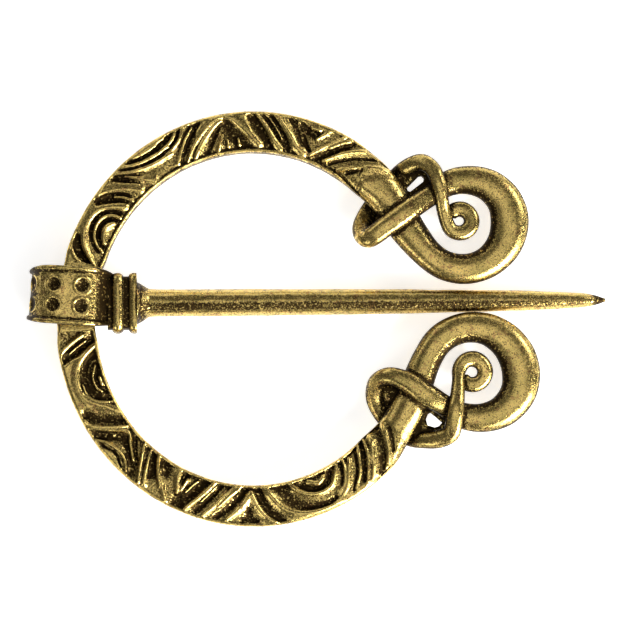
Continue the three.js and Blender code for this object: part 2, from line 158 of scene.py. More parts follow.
# Each end in turn: the neck, the ring, the strap over the neck, the way behind it, the arch, the curl.
UPPER_STRAND = [
    *((17.65, 12.75, 0.7, 2.2, 1.8), (15.5, 11.25, 1.35, 2.2, 1.6), (13.2, 9.65, 1.35, 2.15, 1.6)),
    *((11.2, 8.35, 0.7, 2.1, 1.8), (10.65, 9.4, -0.8, 2.2, 1.7), (11.5, 11.1, -1.6, 2.4, 1.5)),
    *((12.6, 13.2, -1.65, 1.7, 1.5), (14.0, 14.8, -1.3, 1.7, 1.5), (15.3, 15.8, -0.2, 1.75, 1.6)),
    *((16.7, 16.2, 0.7, 1.75, 1.6), (17.8, 15.5, 1.25, 1.65, 1.5), (18.4, 13.9, 1.55, 1.55, 1.4)),
    *((18.7, 12.5, 1.3, 1.45, 1.4), (19.0, 11.0, 0.8, 1.45, 1.45)),
]
LOWER_STRAND = [
    *((19.0, -8.95, 0.7, 2.2, 1.8), (17.1, -7.85, 1.35, 2.4, 1.6), (14.9, -6.45, 1.35, 2.1, 1.6)),
    *((13.2, -5.95, 1.0, 1.8, 1.7), (12.05, -6.5, -0.1, 1.7, 1.7), (12.15, -8.0, -1.2, 2.4, 1.6)),
    *((12.8, -9.6, -1.65, 2.2, 1.5), (14.1, -11.3, -1.65, 1.7, 1.5), (15.6, -12.3, -1.1, 1.7, 1.5)),
    *((17.0, -12.5, -0.2, 1.8, 1.6), (18.5, -12.4, 0.6, 1.9, 1.6), (19.65, -11.85, 1.15, 1.8, 1.5)),
    *((19.95, -10.4, 1.55, 1.75, 1.45), (20.15, -9.0, 1.55, 1.65, 1.4)),
    *((20.35, -7.6, 1.1, 1.45, 1.4), (20.45, -6.3, 0.7, 1.3, 1.4)),
]
upper_end = [
    *round_stops([(12.45, 13.5, 0, 4.15, 2.4)], 0.9),
    *round_stops([(13.75, 11.9, 0, 3.9, 2.46)], 1),
    *round_stops([(15.1, 9.6, 0, 3.75, 2.46)], 0.95),
    *ring_stops(UPPER_RING, 1, -138, 4.9, 0.64),
    *round_stops(UPPER_STRAND),
    *curl_stops((20.66, 10.2), 1, 222, 1.32),
]
lower_end = [
    *round_stops([(13.9, -11.57, 0, 3.65, 2.46)], 1),
    *round_stops([(15.38, -9.03, 0, 3.6, 2.46)], 0.95),
    *ring_stops(LOWER_RING, -1, -160, 5.03, 0.78),
    *round_stops(LOWER_STRAND),
    *curl_stops((21.93, -5.5), -1, 190, 1.4),
]
bar = []
for degrees in np.arange(BAR_FROM, BAR_TO + 0.1, BAR_STOP_EVERY):
    reach, turn = middle_radius(degrees), math.radians(degrees)
    plain = stretch(degrees, PLAIN_FROM - 3, PLAIN_FROM, PLAIN_TO, PLAIN_TO + 3)
    width = 2 * BAR_HALF_WIDTH + 0.12 * math.cos(turn) - PLAIN_NARROWING * plain
    rounded = 1 - stretch(degrees, BAR_FROM, BAR_FROM + 12, BAR_TO - 14, BAR_TO - 2)
    place = [reach * math.cos(turn), reach * math.sin(turn), 0]
    bar.append([*place, width, 2 * BAR_HALF_HEIGHT, rounded, BAR_FULLNESS])

path_stops = np.array([*reversed(upper_end), *bar, *lower_end], float)
is_bar = [False] * len(upper_end) + [True] * len(bar) + [False] * len(lower_end)


def extended(points):
    """The points, with one more beyond each end in line with the last two."""
    return np.vstack([2 * points[0] - points[1], points, 2 * points[-1] - points[-2]])


def between(start, end, leave, arrive, share):
    """From start to end, leaving and arriving at the given rates. The share of the way is 0 to 1."""
    gap = end - start
    bend = 3 * gap - 2 * leave - arrive
    return start + share * (leave + share * (bend + share * (leave + arrive - 2 * gap)))


def through(points, sizes):
    """A smooth line through points, as rows of samples with the sizes carried along."""
    placed = extended(points)
    carried = np.vstack([sizes[0], sizes, sizes[-1]])
    rows = []
    for index in range(len(points) - 1):
        near = placed[index : index + 4]
        steps = np.diff(near, axis=0)
        gaps = np.maximum(np.sum(steps**2, axis=1) ** 0.25, 1e-6)
        rates = steps / gaps[:, None]
        leave = rates[0] - (near[2] - near[0]) / (gaps[0] + gaps[1]) + rates[1]
        arrive = rates[1] - (near[3] - near[1]) / (gaps[1] + gaps[2]) + rates[2]
        spacing = BAR_STEP if is_bar[index] and is_bar[index + 1] else STRAND_STEP
        count = max(2, round(np.linalg.norm(steps[1]) / spacing))
        share = (np.arange(count) / count)[:, None]
        before, now, then, after = carried[index : index + 4]
        place = between(near[1], near[2], leave * gaps[1], arrive * gaps[1], share)
        rows.append(np.hstack([place, between(now, then, (then - before) / 2, (after - now) / 2, share)]))
    return np.vstack([*rows, [*points[-1], *sizes[-1]]])


samples = through(path_stops[:, :3], path_stops[:, 3:])
spine = samples[:, :3]

# The bar and the necks, which carry the carving, are told from the strands that pass near them.
MAIN_RISE, MAIN_OFF = 0.3, 0.6
round_hoop = np.degrees(np.arctan2(spine[:, 1], spine[:, 0])) % 360
off_middle = np.abs(np.hypot(spine[:, 0], spine[:, 1]) - middle_radius(round_hoop))
is_main = (np.abs(spine[:, 2]) < MAIN_RISE) & (off_middle < MAIN_OFF)
is_main &= (round_hoop > CARVED_FROM) & (round_hoop < CARVED_TO)

TIP_ROUNDING = 0.5
walked = np.concatenate([[0], np.cumsum(np.linalg.norm(np.diff(spine, axis=0), axis=1))])
from_tip = np.minimum(walked, walked[-1] - walked) / TIP_ROUNDING
tip = np.sqrt(np.clip(1 - (1 - np.clip(from_tip, 0.02, 1)) ** 2, 0.01, 1))

TOP_POINTS, BOTTOM_POINTS = 40, 9


def outline(corners, counts):
    """A closed outline, with so many points from each corner to the next."""
    points = []
    for (x0, y0), (x1, y1), count in zip(corners, [*corners[1:], corners[0]], counts):
        for share in np.arange(count) / count:
            points.append((x0 + (x1 - x0) * share, y0 + (y1 - y0) * share, 0.0))
    return np.array(points)


def mirrored(corners):
    """The corners from the last to the first, with left for right."""
    return [(-x, y) for x, y in reversed(corners)]


# The section of the bar, scaled to 1 by 1, from the middle of its inner side up and round.
side_bevel, top_bevel = BAR_BEVEL / BAR_HALF_WIDTH, BAR_BEVEL / BAR_HALF_HEIGHT
BEVEL_SWELL = 0.3
over = [(1, 1 - top_bevel), (1 - side_bevel * BEVEL_SWELL, 1 - top_bevel * BEVEL_SWELL), (1 - side_bevel, 1)]
under = [(-1, -1 + top_bevel), (-1 + side_bevel, -1)]
bar_corners = [(1, 0), *over, *mirrored(over), *under, *mirrored(under)]
bar_counts = [2, 1, 2, TOP_POINTS, 2, 1, 4, 2, BOTTOM_POINTS, 2, 2]
boxy = outline(bar_corners, bar_counts)
upper_count = sum(bar_counts[:6])
upper_turn = np.linspace(0, math.pi, upper_count, endpoint=False)
lower_turn = np.linspace(math.pi, 2 * math.pi, len(boxy) - upper_count, endpoint=False)
turn = np.concatenate([upper_turn, lower_turn])


class Wire:
    """The output of a node, with which sums are written. Its node's other outputs are had by name."""

    def __init__(self, tree, socket):
        self.tree = tree
        self.socket = socket

    def out(self, key):
        return Wire(self.tree, pick(self.socket.node.outputs, key))

    def sum(self, operation, *terms):
        return self.tree.add("ShaderNodeMath", {"operation": operation}, dict(enumerate(terms)))

    def __add__(self, other):
        return self.sum("ADD", self, other)

    __radd__ = __add__

    def __sub__(self, other):
        return self.sum("SUBTRACT", self, other)

    def __rsub__(self, other):
        return self.sum("SUBTRACT", other, self)

    def __mul__(self, other):
        return self.sum("MULTIPLY", self, other)

    __rmul__ = __mul__

    def __truediv__(self, other):
        return self.sum("DIVIDE", self, other)

    def __pow__(self, other):
        return self.sum("POWER", self, other)

    def __abs__(self):
        return self.sum("ABSOLUTE", self)

    def clamp(self, low=0.0, high=1.0):
        return self.sum("MINIMUM", self.sum("MAXIMUM", self, low), high)

    def ease(self, low, high):
        """0 below low and 1 above high, with a soft change between them."""
        settings = {"interpolation_type": "SMOOTHSTEP", "clamp": True}
        values = {"Value": self, "From Min": low, "From Max": high, "To Min": 0.0, "To Max": 1.0}
        return self.tree.add("ShaderNodeMapRange", settings, values)


def pick(sockets, key):
    if isinstance(key, int):
        return sockets[key]
    known = [s for s in sockets if s.identifier == key]
    return (known or [s for s in sockets if s.name == key and s.enabled])[0]


class Tree:
    """A node tree that nodes are added to by type, settings and inputs. Each gives its first output."""

    def __init__(self, tree):
        self.tree = tree

    def add(self, kind, settings=None, inputs=None):
        node = self.tree.nodes.new(kind)
        for name, value in (settings or {}).items():
            setattr(node, name, value)
        for key, value in (inputs or {}).items():
            socket = pick(node.inputs, key)
            if isinstance(value, Wire):
                self.tree.links.new(value.socket, socket)
            else:
                socket.default_value = value
        return Wire(self, next((s for s in node.outputs if s.enabled), None))

    def vector(self, operation, *terms):
        return self.add("ShaderNodeVectorMath", {"operation": operation}, dict(enumerate(terms)))


def geometry_tree(name, sizes):
    """A geometry tree with a finish and the given sizes as named inputs, and its Group Input as a node."""
    group = bpy.data.node_groups.new(name, "GeometryNodeTree")
    group.interface.new_socket("Geometry", in_out="OUTPUT", socket_type="NodeSocketGeometry")
    for label, kind in {"Geometry": "Geometry", **sizes, "Finish": "Material"}.items():
        group.interface.new_socket(label, in_out="INPUT", socket_type="NodeSocket" + kind)
    tree = Tree(group)
    return tree, tree.add("NodeGroupInput")


def finish_geometry(tree, geometry, finish):
    whole = tree.add("GeometryNodeRealizeInstances", {}, {"Geometry": geometry})
    dressed = tree.add("GeometryNodeSetMaterial", {}, {"Geometry": whole, "Material": finish})
    tree.add("NodeGroupOutput", {}, {"Geometry": dressed})


def new_object(name, data):
    made = bpy.data.objects.new(name, data)
    bpy.context.scene.collection.objects.link(made)
    return made


def store(mesh, name, values):
    """Keeps a number or a vector on each point of a mesh."""
    values = np.asarray(values, np.float32)
    if values.ndim == 0:
        values = np.full(len(mesh.vertices), values)
    if name in mesh.attributes:
        mesh.attributes.remove(mesh.attributes[name])
    kind, key = ("FLOAT_VECTOR", "vector") if values.ndim == 2 else ("FLOAT", "value")
    mesh.attributes.new(name, kind, "POINT").data.foreach_set(key, values.ravel())


def line_object(name, points, closed, attributes):
    """A mesh of edges alone, with values stored on its points."""
    mesh = bpy.data.meshes.new(name)
    count = len(points)
    edges = [(i, (i + 1) % count) for i in range(count if closed else count - 1)]
    mesh.from_pydata([tuple(p) for p in points], edges, [])
    for label, values in attributes.items():
        store(mesh, label, values)
    return new_object(name, mesh)


def run_geometry(base, tree, values, name):
    """The plain mesh that a geometry tree makes of base, as an object of its own."""
    step = base.modifiers.new("Make", "NODES")
    step.node_group = tree.tree
    for item in tree.tree.interface.items_tree:
        if item.in_out == "INPUT" and item.name in values:
            step[item.identifier] = values[item.name]
    bpy.context.view_layer.update()
    shaped = base.evaluated_get(bpy.context.evaluated_depsgraph_get())
    mesh = bpy.data.meshes.new_from_object(shaped)
    mesh.name = name
    bpy.data.objects.remove(base)
    return new_object(name, mesh)


def swept_section_tree():
    """Carries a section along a path. Each path point says how wide, high and round the metal is there."""
    tree, given = geometry_tree("Cast strand", {"Section": "Object"})
    path = tree.add("GeometryNodeMeshToCurve", {}, {"Mesh": given.out("Geometry")})
    section = tree.add("GeometryNodeObjectInfo", {}, {"Object": given.out("Section")}).out("Geometry")
    loop = tree.add("GeometryNodeMeshToCurve", {}, {"Mesh": section})
    tube = tree.add("GeometryNodeCurveToMesh", {}, {"Curve": path, "Profile Curve": loop, "Fill Caps": True})

    def stored(name, kind="FLOAT"):
        return tree.add("GeometryNodeInputNamedAttribute", {"data_type": kind}, {"Name": name})

    angle, fullness, roundness = stored("turn"), stored("fullness"), stored("roundness")
    box = tree.add("ShaderNodeSeparateXYZ", {}, {"Vector": stored("boxy", "FLOAT_VECTOR")})
    place = stored("spine", "FLOAT_VECTOR")
    ways = (("COSINE", "X", "half_width", "across"), ("SINE", "Y", "half_height", "rise"))
    for operation, box_key, size, direction in ways:
        wave = angle.sum(operation, angle)
        bulge = wave.sum("SIGN", wave) * abs(wave) ** fullness
        reach = (bulge * roundness + box.out(box_key) * (1 - roundness)) * stored(size)
        place = tree.vector("MULTIPLY_ADD", stored(direction, "FLOAT_VECTOR"), reach, place)
    shaped = tree.add("GeometryNodeSetPosition", {}, {"Geometry": tube, "Position": place})
    finish_geometry(tree, shaped, given.out("Finish"))
    return tree


sweep = swept_section_tree()


def cast_strand(name, finish, spine, turn, boxy, across=None, **sizes):
    """A section, with its turn and boxy form round the loop, carried along a spine with its sizes."""
    tangent = unit(np.gradient(spine, axis=0))
    if across is None:
        across = unit(np.cross([0.0, 0.0, 1.0], tangent))
    along = {"spine": spine, "across": across, "rise": unit(np.cross(tangent, across)), **sizes}
    path = line_object(name + " path", spine, False, along)
    loop = np.column_stack([np.cos(turn), np.sin(turn), 0 * turn])
    round_it = {"turn": turn, "boxy": loop if boxy is None else boxy}
    section = line_object(name + " section", loop, True, round_it)
    made = run_geometry(path, sweep, {"Section": section, "Finish": finish}, name)
    bpy.data.objects.remove(section)
    return made


# ------ the carving on the face of the bar
# Spots are (degrees round the hoop, -1 at the inner edge to 1 at the outer edge). A line of them also
# says how far, in millimetres, its metal or its hollow reaches to either side, all along or at its
# start and its end.

BASE_LEVEL, CHANNEL_LEVEL, RIDGE_LEVEL = -0.16, -0.42, 0.1
CHANNEL_SPREAD, CHANNEL_FLATNESS = 1.9, 2.2
RIDGE_SPREAD, RIDGE_FLATNESS = 1.75, 2
FLAT_EDGE = 0.3
INNER_FALL = 0.2
MAP_RADIUS = 19.0
BENT_STEPS = 9


def bent(spots):
    """A smooth line through spots."""
    placed = extended(np.array(spots, float))
    share = (np.arange(BENT_STEPS) / BENT_STEPS)[:, None]
    pieces = [
        between(now, then, (then - before) / 2, (after - now) / 2, share)
        for before, now, then, after in zip(placed, placed[1:], placed[2:], placed[3:])
    ]
    return np.vstack([*pieces, placed[-2]])


channels = [
    ([(156.7, 0.76), (159.2, 0.45), (161.5, -0.06), (162.8, -0.48)], 0.45, 0.21),
    ([(157.3, -0.52), (155.7, -0.14), (153.1, 0.16), (149.6, 0.27), (146.3, 0.14), (144.3, -0.17),
      (143.2, -0.52)], 0.19),
    ([(155.7, -0.57), (154.2, -0.25), (151.9, -0.09), (149.4, -0.08), (147.4, -0.22),
      (146.3, -0.55)], 0.19),
    ([(144, 0.68), (141.7, 0.3), (139.1, -0.13), (138, -0.4)], 0.41, 0.31),
    ([(136, 0.8), (134.2, 0.41), (131.8, 0.01), (130.9, -0.17)], 0.41, 0.34),
    ([(133, 0.74), (130.3, 0.44), (126.8, 0.23), (122.7, 0.13), (118.2, 0.17)], 0.08),
    ([(130.4, 0.79), (127.3, 0.59), (123.2, 0.52), (118.6, 0.58)], 0.13),
    ([(120.2, 0.18), (117.1, 0.3), (114.9, 0.54), (113.4, 0.87)], 0.1),
    ([(120.2, 0.58), (117.9, 0.64), (116.3, 0.85)], 0.21, 0.15),
    ([(108.5, 0.82), (110.6, 0.5), (113, 0.07), (115.8, -0.37), (116.7, -0.63)], 0.34, 0.17),
    ([(107.8, -0.67), (105, -0.18), (102.6, 0.31), (101.4, 0.51)], 0.29, 0.15),
    ([(100.2, 0.46), (99.1, 0.08), (97, -0.32), (95.3, -0.7)], 0.52, 0.58),
    ([(92.3, 0.72), (90.9, 0.24), (88.5, -0.31), (87.1, -0.68)], 0.45, 0.31),
    ([(87.5, 0.71), (84.8, 0.15), (82.5, -0.32), (81.4, -0.63)], 0.34),
    ([(80.9, 0.84), (79.3, 0.47), (77.7, 0.03), (76.6, -0.27)], 0.26),
    ([(77.5, 0.5), (75, 0.46), (72.9, 0.37)], 0.45, 0.31),
    ([(70.9, -0.66), (67.7, -0.24), (64.9, 0.3), (62.2, 0.78)], 0.24),
    ([(63.2, 0.74), (62.2, 0.88)], 0.31, 0.24),
    ([(66, -0.65), (62.4, -0.16), (58.7, 0.31), (53.7, 0.83)], 0.12, 0.09),
    ([(59.3, -0.57), (56.3, -0.09), (52.7, 0.36)], 0.17, 0.07),
    ([(77, 0.18), (75.3, -0.2), (73.7, -0.48)], 0.24, 0.14),
    ([(192.5, 0.83), (191.2, 0.43), (189.2, -0.15), (187.2, -0.65)], 0.31, 0.38),
    ([(192.2, -0.85), (194.2, -0.34), (197.6, -0.04), (201.9, 0.04), (205.1, -0.14), (207.3, -0.5),
      (208.4, -0.83)], 0.41),
    ([(196.3, -0.67), (201.4, -0.31), (205, -0.7)], 0.45),
    ([(209.7, 0.65), (212.5, 0.1), (214.9, -0.36), (216.6, -0.76)], 0.45, 0.31),
    ([(216.1, 0.7), (218, 0.19), (220.4, -0.15), (223.2, -0.23), (226.2, -0.08), (228.5, 0.3),
      (230.3, 0.68)], 0.41, 0.38),
    ([(218.9, 0.77), (223.2, 0.52), (227, 0.74)], 0.09),
    ([(224, -0.72), (226.6, -0.34), (229.7, 0.16)], 0.17, 0.14),
    ([(232, -0.66), (233.6, -0.27), (235.1, 0.08)], 0.34, 0.41),
    ([(236.9, -0.85), (238.3, -0.47), (239.2, -0.32)], 0.38, 0.34),
    ([(236.8, -0.67), (238.7, -0.53)], 0.45, 0.38),
    ([(246.1, 0.68), (245.8, 0.37)], 0.65, 0.45),
    ([(247.9, 0.27), (249.3, -0.29), (251.4, -0.78)], 0.45, 0.41),
    ([(244.2, -0.34), (245, -0.74)], 0.17, 0.27),
    ([(251.5, 0.68), (253.5, 0.11), (256.1, -0.58), (257, -0.87)], 0.29, 0.26),
    ([(257.6, 0.72), (260.2, 0.27), (263, -0.32), (264.8, -0.72)], 0.24, 0.29),
    ([(265.1, 0.69), (266.8, 0.63), (268.7, 0.72)], 0.29),
    ([(266.8, 0.55), (266.8, 0.15)], 0.41, 0.17),
    ([(269.4, -0.78), (270.6, -0.24), (273.2, 0.33), (276.2, 0.77)], 0.33, 0.29),
    ([(277.4, -0.77), (279.1, -0.22), (282.5, 0.27), (286.4, 0.57), (290, 0.68),
      (293.6, 0.55)], 0.55, 0.27),
    ([(283.6, -0.67), (286.6, -0.33), (289.4, -0.22), (292.1, -0.32), (293.9, -0.67)], 0.21),
    ([(293.1, 0.57), (295.8, 0.24), (298, -0.26), (299, -0.77)], 0.12),
    ([(298.7, 0.68), (301.7, 0.19), (304.1, -0.38), (305.8, -0.93)], 0.1),
    ([(302.8, 0.59), (305, 0.12), (307.4, -0.47), (309.1, -0.96)], 0.14),
    ([(308.7, 0.75), (311.9, 0.21), (315.1, -0.45), (317, -0.86)], 0.29),
    ([(315.1, 0.49), (318.3, -0.08), (320.6, -0.57)], 0.14),
]
ridges = [
    ([(163.5, 0.06), (162, 0.47), (159.9, 0.75)], 0.17, 0.14),
    ([(163, -0.59), (160.6, -0.2), (157.9, 0.2), (154.8, 0.46), (151.4, 0.57), (148.4, 0.54),
      (145.7, 0.34), (143.1, -0.08), (140.6, -0.6)], 0.27, 0.38),
    ([(157.4, -0.69), (156.1, -0.33), (153.9, -0.03), (151.3, 0.1), (148.8, 0.09), (146.4, -0.1),
      (145.1, -0.38), (144.6, -0.72)], 0.21),
    ([(154.3, -0.61), (151.7, -0.4), (149.4, -0.36), (147.3, -0.56)], 0.31, 0.27),
    ([(140.4, 0.13), (138.6, -0.24), (137.4, -0.64)], 0.14, 0.24),
    ([(143.4, 0.86), (140.7, 0.63), (138.5, 0.33), (136, -0.09), (133.2, -0.62)], 0.19, 0.41),
    ([(133.8, 0.42), (130.9, -0.14), (127.7, -0.7)], 0.12, 0.52),
    ([(135.4, 0.9), (133, 0.53), (129.9, 0.23), (126.5, 0.03), (123.2, -0.06),
      (118.2, -0.06)], 0.22),
    ([(132.5, 0.82), (129.9, 0.55), (126.8, 0.36), (122.7, 0.28), (118.2, 0.33)], 0.19),
    ([(119.9, 0.01), (116.9, 0.15), (114.3, 0.41), (112.2, 0.86)], 0.22, 0.17),
    ([(120.2, 0.32), (117.4, 0.44), (115.3, 0.67), (114.3, 0.89)], 0.19, 0.15),
    ([(109.9, 0.68), (112.8, 0.26), (115.3, -0.19), (118, -0.66)], 0.12, 0.27),
    ([(114.8, -0.78), (111.6, -0.26), (107.1, 0.32), (103.5, 0.7), (100.4, 0.85), (97.8, 0.66),
      (95.3, 0.27), (93.1, -0.14), (90.6, -0.63)], 0.17, 0.45),
    ([(111.9, -0.75), (108.8, -0.25), (105.5, 0.21), (102.7, 0.54), (101.2, 0.64)], 0.27, 0.21),
    ([(104.2, -0.84), (102.8, -0.41), (101.5, -0.03)], 0.24, 0.14),
    ([(100.4, -0.33), (100.4, -0.66)], 0.15, 0.22),
    ([(97, -0.32), (96.8, -0.66)], 0.14, 0.24),
    ([(90.9, 0.81), (89, 0.46), (87, -0.02), (85.6, -0.41), (83.6, -0.75)], 0.17, 0.45),
    ([(89.1, 0.95), (87.7, 0.74), (85.4, 0.27), (83.2, -0.24)], 0.12),
    ([(85.8, 0.92), (83.4, 0.5), (80.8, 0.02), (78.4, -0.41), (75.9, -0.71)], 0.21, 0.52),
    ([(74.6, 0.64), (72.6, 0.65)], 0.22),
    ([(72.4, 0.21), (70.1, 0.63)], 0.17, 0.21),
    ([(73.4, -0.69), (70.2, -0.14), (67.1, 0.43), (64.1, 0.97)], 0.19, 0.15),
    ([(67.7, 0.07), (65.4, 0.47), (63.2, 0.8)], 0.21, 0.27),
    ([(68.3, -0.68), (65.1, -0.16), (61.4, 0.39), (57.3, 0.86), (53.6, 0.97)], 0.17, 0.27),
    ([(62.6, -0.74), (59.3, -0.31), (55.2, 0.21), (51.1, 0.72), (47.8, 0.97)], 0.19, 0.15),
    ([(55.2, 0.06), (51.1, 0.6), (46.9, 0.97)], 0.15, 0.24),
    ([(185.7, -0.26), (187.5, 0.24), (189.2, 0.61), (190.7, 0.86)], 0.26, 0.19),
    ([(187.7, -0.41), (189.6, 0.12), (191, 0.48)], 0.14, 0.1),
    ([(189, -0.93), (191.7, -0.33), (194.7, 0.14), (198.3, 0.41), (202.4, 0.46), (205.6, 0.28),
      (208.2, -0.1), (210.9, -0.55), (213.7, -0.88)], 0.31, 0.41),
    ([(200.9, 0.2), (204.1, 0.17), (206.8, -0.08), (208.7, -0.51), (209.7, -0.84)], 0.12),
    ([(196.1, -0.67), (199.5, -0.39), (203, -0.37), (205.1, -0.56)], 0.15),
    ([(200.6, -0.69), (203, -0.7)], 0.21, 0.24),
    ([(210.6, 0.79), (212.7, 0.67), (215.1, 0.19), (217.4, -0.31), (219.4, -0.77)], 0.15),
    ([(212.7, 0.85), (214.8, 0.46), (217.8, -0.15), (221.1, -0.65), (224.6, -0.31),
      (228.4, 0.1)], 0.17, 0.19),
    ([(216.8, 0.84), (219.5, 0.47), (223.2, 0.29), (226.6, 0.39), (229, 0.73)], 0.15),
    ([(227.1, -0.97), (229.5, -0.37), (231.6, 0.22), (233.7, 0.78)], 0.17, 0.15),
    ([(230.4, -0.97), (231.8, -0.43), (233.5, 0.15), (235.1, 0.68)], 0.15, 0.26),
    ([(233.6, -0.97), (236.2, -0.27), (239.5, 0.35)], 0.22, 0.19),
    ([(239.6, 0.21), (241.5, 0.58), (242.9, 0.81)], 0.22, 0.17),
    ([(241.8, -0.91), (243.2, -0.37), (244.7, 0.2)], 0.45, 0.21),
    ([(245.5, 0.03), (246.1, -0.58)], 0.14, 0.17),
    ([(247, 0.03), (248.3, -0.42), (249.5, -0.7)], 0.1, 0.12),
    ([(248.6, 0.74), (250.5, 0.24), (252.5, -0.26), (254.7, -0.87)], 0.22, 0.27),
    ([(252.3, 0.19), (253.9, -0.26), (255.8, -0.73)], 0.12, 0.14),
    ([(254, 0.76), (256.6, 0.18), (258.8, -0.35), (261.9, -0.88)], 0.19, 0.22),
    ([(257.6, 0.23), (260.2, -0.36), (263.2, -0.86)], 0.17, 0.29),
    ([(260.6, 0.77), (263.2, 0.31), (265.7, -0.21), (267, -0.56)], 0.19, 0.38),
    ([(267.1, -0.6), (268.1, -0.3), (270, 0.21), (272.3, 0.61), (274.6, 0.86)], 0.34, 0.22),
    ([(271.5, -0.9), (274.1, -0.3), (276.8, 0.19), (280, 0.53), (284.1, 0.74), (289.1, 0.84), (293, 0.76),
      (297.2, 0.37), (299.7, -0.11), (302.2, -0.73)], 0.38, 0.24),
    ([(280.4, -0.83), (283.4, -0.3), (286.9, -0.04), (290.1, 0.03), (293.3, -0.08), (295.9, -0.5),
      (297.5, -0.87)], 0.22),
    ([(286.4, -0.72), (289.4, -0.45), (291.5, -0.63)], 0.27),
    ([(294.1, 0.48), (297.2, 0.13), (299.3, -0.43), (300.2, -0.87)], 0.26, 0.17),
    ([(299.7, 0.61), (303.1, 0.12), (305.4, -0.46), (307.4, -0.97)], 0.17, 0.21),
    ([(302.9, 0.78), (306.3, 0.16), (308.8, -0.42), (310.3, -0.95)], 0.17),
    ([(305, 0.78), (308, 0.27), (311, -0.39), (312.8, -0.91)], 0.26),
    ([(311.7, 0.72), (315.1, 0.2), (317.8, -0.41), (319.4, -0.83)], 0.24),
]
flats = [
    [(53.5, -0.35), (50.5, -1.0), (41, -1.0), (41, 1.0), (44.5, 0.95), (49.5, 0.35)],
    [(164.3, 0.95), (157, 0.92), (160.1, 0.63), (163.4, 0.09), (164.3, 0.06)],
    [(156, 0.92), (145.3, 0.87), (143.8, 0.39), (146.3, 0.47), (149.4, 0.61), (153, 0.6), (156.6, 0.37),
     (158.7, 0.14)],
    [(142.5, 0.89), (137, 0.86), (134, 0.18), (132.4, -0.31), (134, -0.22), (138.1, 0.38)],
    [(129.3, 0.85), (118.6, 0.87), (118.6, 0.72), (123.7, 0.64), (127.8, 0.7)],
    [(99.4, 0.93), (91.4, 0.93), (91.2, 0.72), (92.6, 0.47), (93.2, 0.07), (95.3, 0.49), (97.8, 0.79)],
    [(107.1, 0.87), (101.4, 0.93), (104.5, 0.68), (109.2, 0.19), (108.5, 0.6)],
    [(77.7, 0.89), (68.6, 0.95), (69.6, 0.79), (75.8, 0.66)],
    [(218.9, 0.93), (227.6, 0.88), (226.1, 0.63), (223.2, 0.57), (220.3, 0.66)],
    [(193.7, 0.92), (208.6, 0.91), (209.2, 0.62), (210, 0.18), (207.6, 0.35), (203, 0.62), (198.3, 0.57),
     (195.2, 0.35), (192.6, 0.02)],
    [(277.1, 0.97), (297.2, 0.97), (298.2, 0.59), (293, 0.92), (288.9, 0.97), (283.8, 0.9), (280, 0.69)],
    [(269.4, 0.94), (275.6, 0.97), (274.3, 0.92), (272, 0.73), (268.9, 0.84)],
    [(295.6, 0.89), (310, 0.81), (307.9, 0.72), (304.8, 0.78), (300.7, 0.69), (298.2, 0.72)],
]


def flat_map(spots):
    """Spots as places on the flat, in millimetres along the bar and across it."""
    return np.asarray(spots) * [math.radians(1) * MAP_RADIUS, BAR_HALF_WIDTH]


def nearest(line, where, reach):
    """Which places are near a line, how far from it they are, and how far along it. All in millimetres."""
    close = np.all((where > line.min(0) - reach) & (where < line.max(0) + reach), axis=1)
    there = where[close]
    best = np.full(len(there), np.inf)
    along = np.zeros(len(there))
    for index, (start, end) in enumerate(zip(line, line[1:])):
        step = end - start
        share = np.clip(((there - start) @ step) / (step @ step), 0, 1)
        away = np.linalg.norm(there - start - share[:, None] * step, axis=1)
        nearer = away < best
        best[nearer] = away[nearer]
        along[nearer] = (index + share[nearer]) / (len(line) - 1)
    return close, best, along


def within(corners, where):
    """Which places lie inside a closed outline."""
    inside = np.zeros(len(where), bool)
    for (x0, y0), (x1, y1) in zip(corners, np.roll(corners, -1, axis=0)):
        spans = (y0 > where[:, 1]) != (y1 > where[:, 1])
        cut = x0 + (where[:, 1] - y0) * (x1 - x0) / (y1 - y0 if y1 != y0 else 1e-9)
        inside ^= spans & (where[:, 0] < cut)
    return inside


def strongest(lines, where, spread, flatness):
    """The share, 0 to 1, that lines of a kind have at each place: 1 along each, fading to its sides."""
    share = np.zeros(len(where))
    for spots, start, *rest in lines:
        end = rest[0] if rest else start
        line = flat_map(bent(spots))
        close, away, along = nearest(line, where, spread * max(start, end))
        wide = spread * (start + (end - start) * along)
        share[close] = np.maximum(share[close], (1 - np.clip(away / wide, 0, 1) ** flatness) ** 2)
    return share


def carve(spots):
    """The height of the carving over the plain face, at each spot."""
    where = flat_map(spots)
    bare = np.zeros(len(where))
    for flat in flats:
        corners = flat_map(flat)
        close, away, _ = nearest(np.vstack([corners, corners[:1]]), where, FLAT_EDGE)
        bare[close] = np.maximum(bare[close], 1 - smooth(away, 0, FLAT_EDGE))
        bare[within(corners, where)] = 1
    height = BASE_LEVEL * (1 - bare)
    height += (CHANNEL_LEVEL - height) * strongest(channels, where, CHANNEL_SPREAD, CHANNEL_FLATNESS)
    return height + (RIDGE_LEVEL - height) * strongest(ridges, where, RIDGE_SPREAD, RIDGE_FLATNESS)


def soft_noise(places, cell, seed):
    """Value noise on a three-way grid of the given cell, from -1 to 1."""
    scaled = places / cell
    low = np.floor(scaled).astype(np.int64)
    share = scaled - low
    share = share * share * (3 - 2 * share)
    total = np.zeros(len(places))
    for corner in np.ndindex(2, 2, 2):
        at = low + corner
        mixed = (at[:, 0] * 73856093) ^ (at[:, 1] * 19349663) ^ (at[:, 2] * 83492791) ^ (seed * 2654435761)
        mixed = (mixed ^ (mixed >> 13)) * 1274126177 & 0x7FFFFFFF
        value = (mixed % 10007) / 5003.5 - 1
        total += value * np.prod(np.where(np.array(corner) == 1, share, 1 - share), axis=1)
    return total


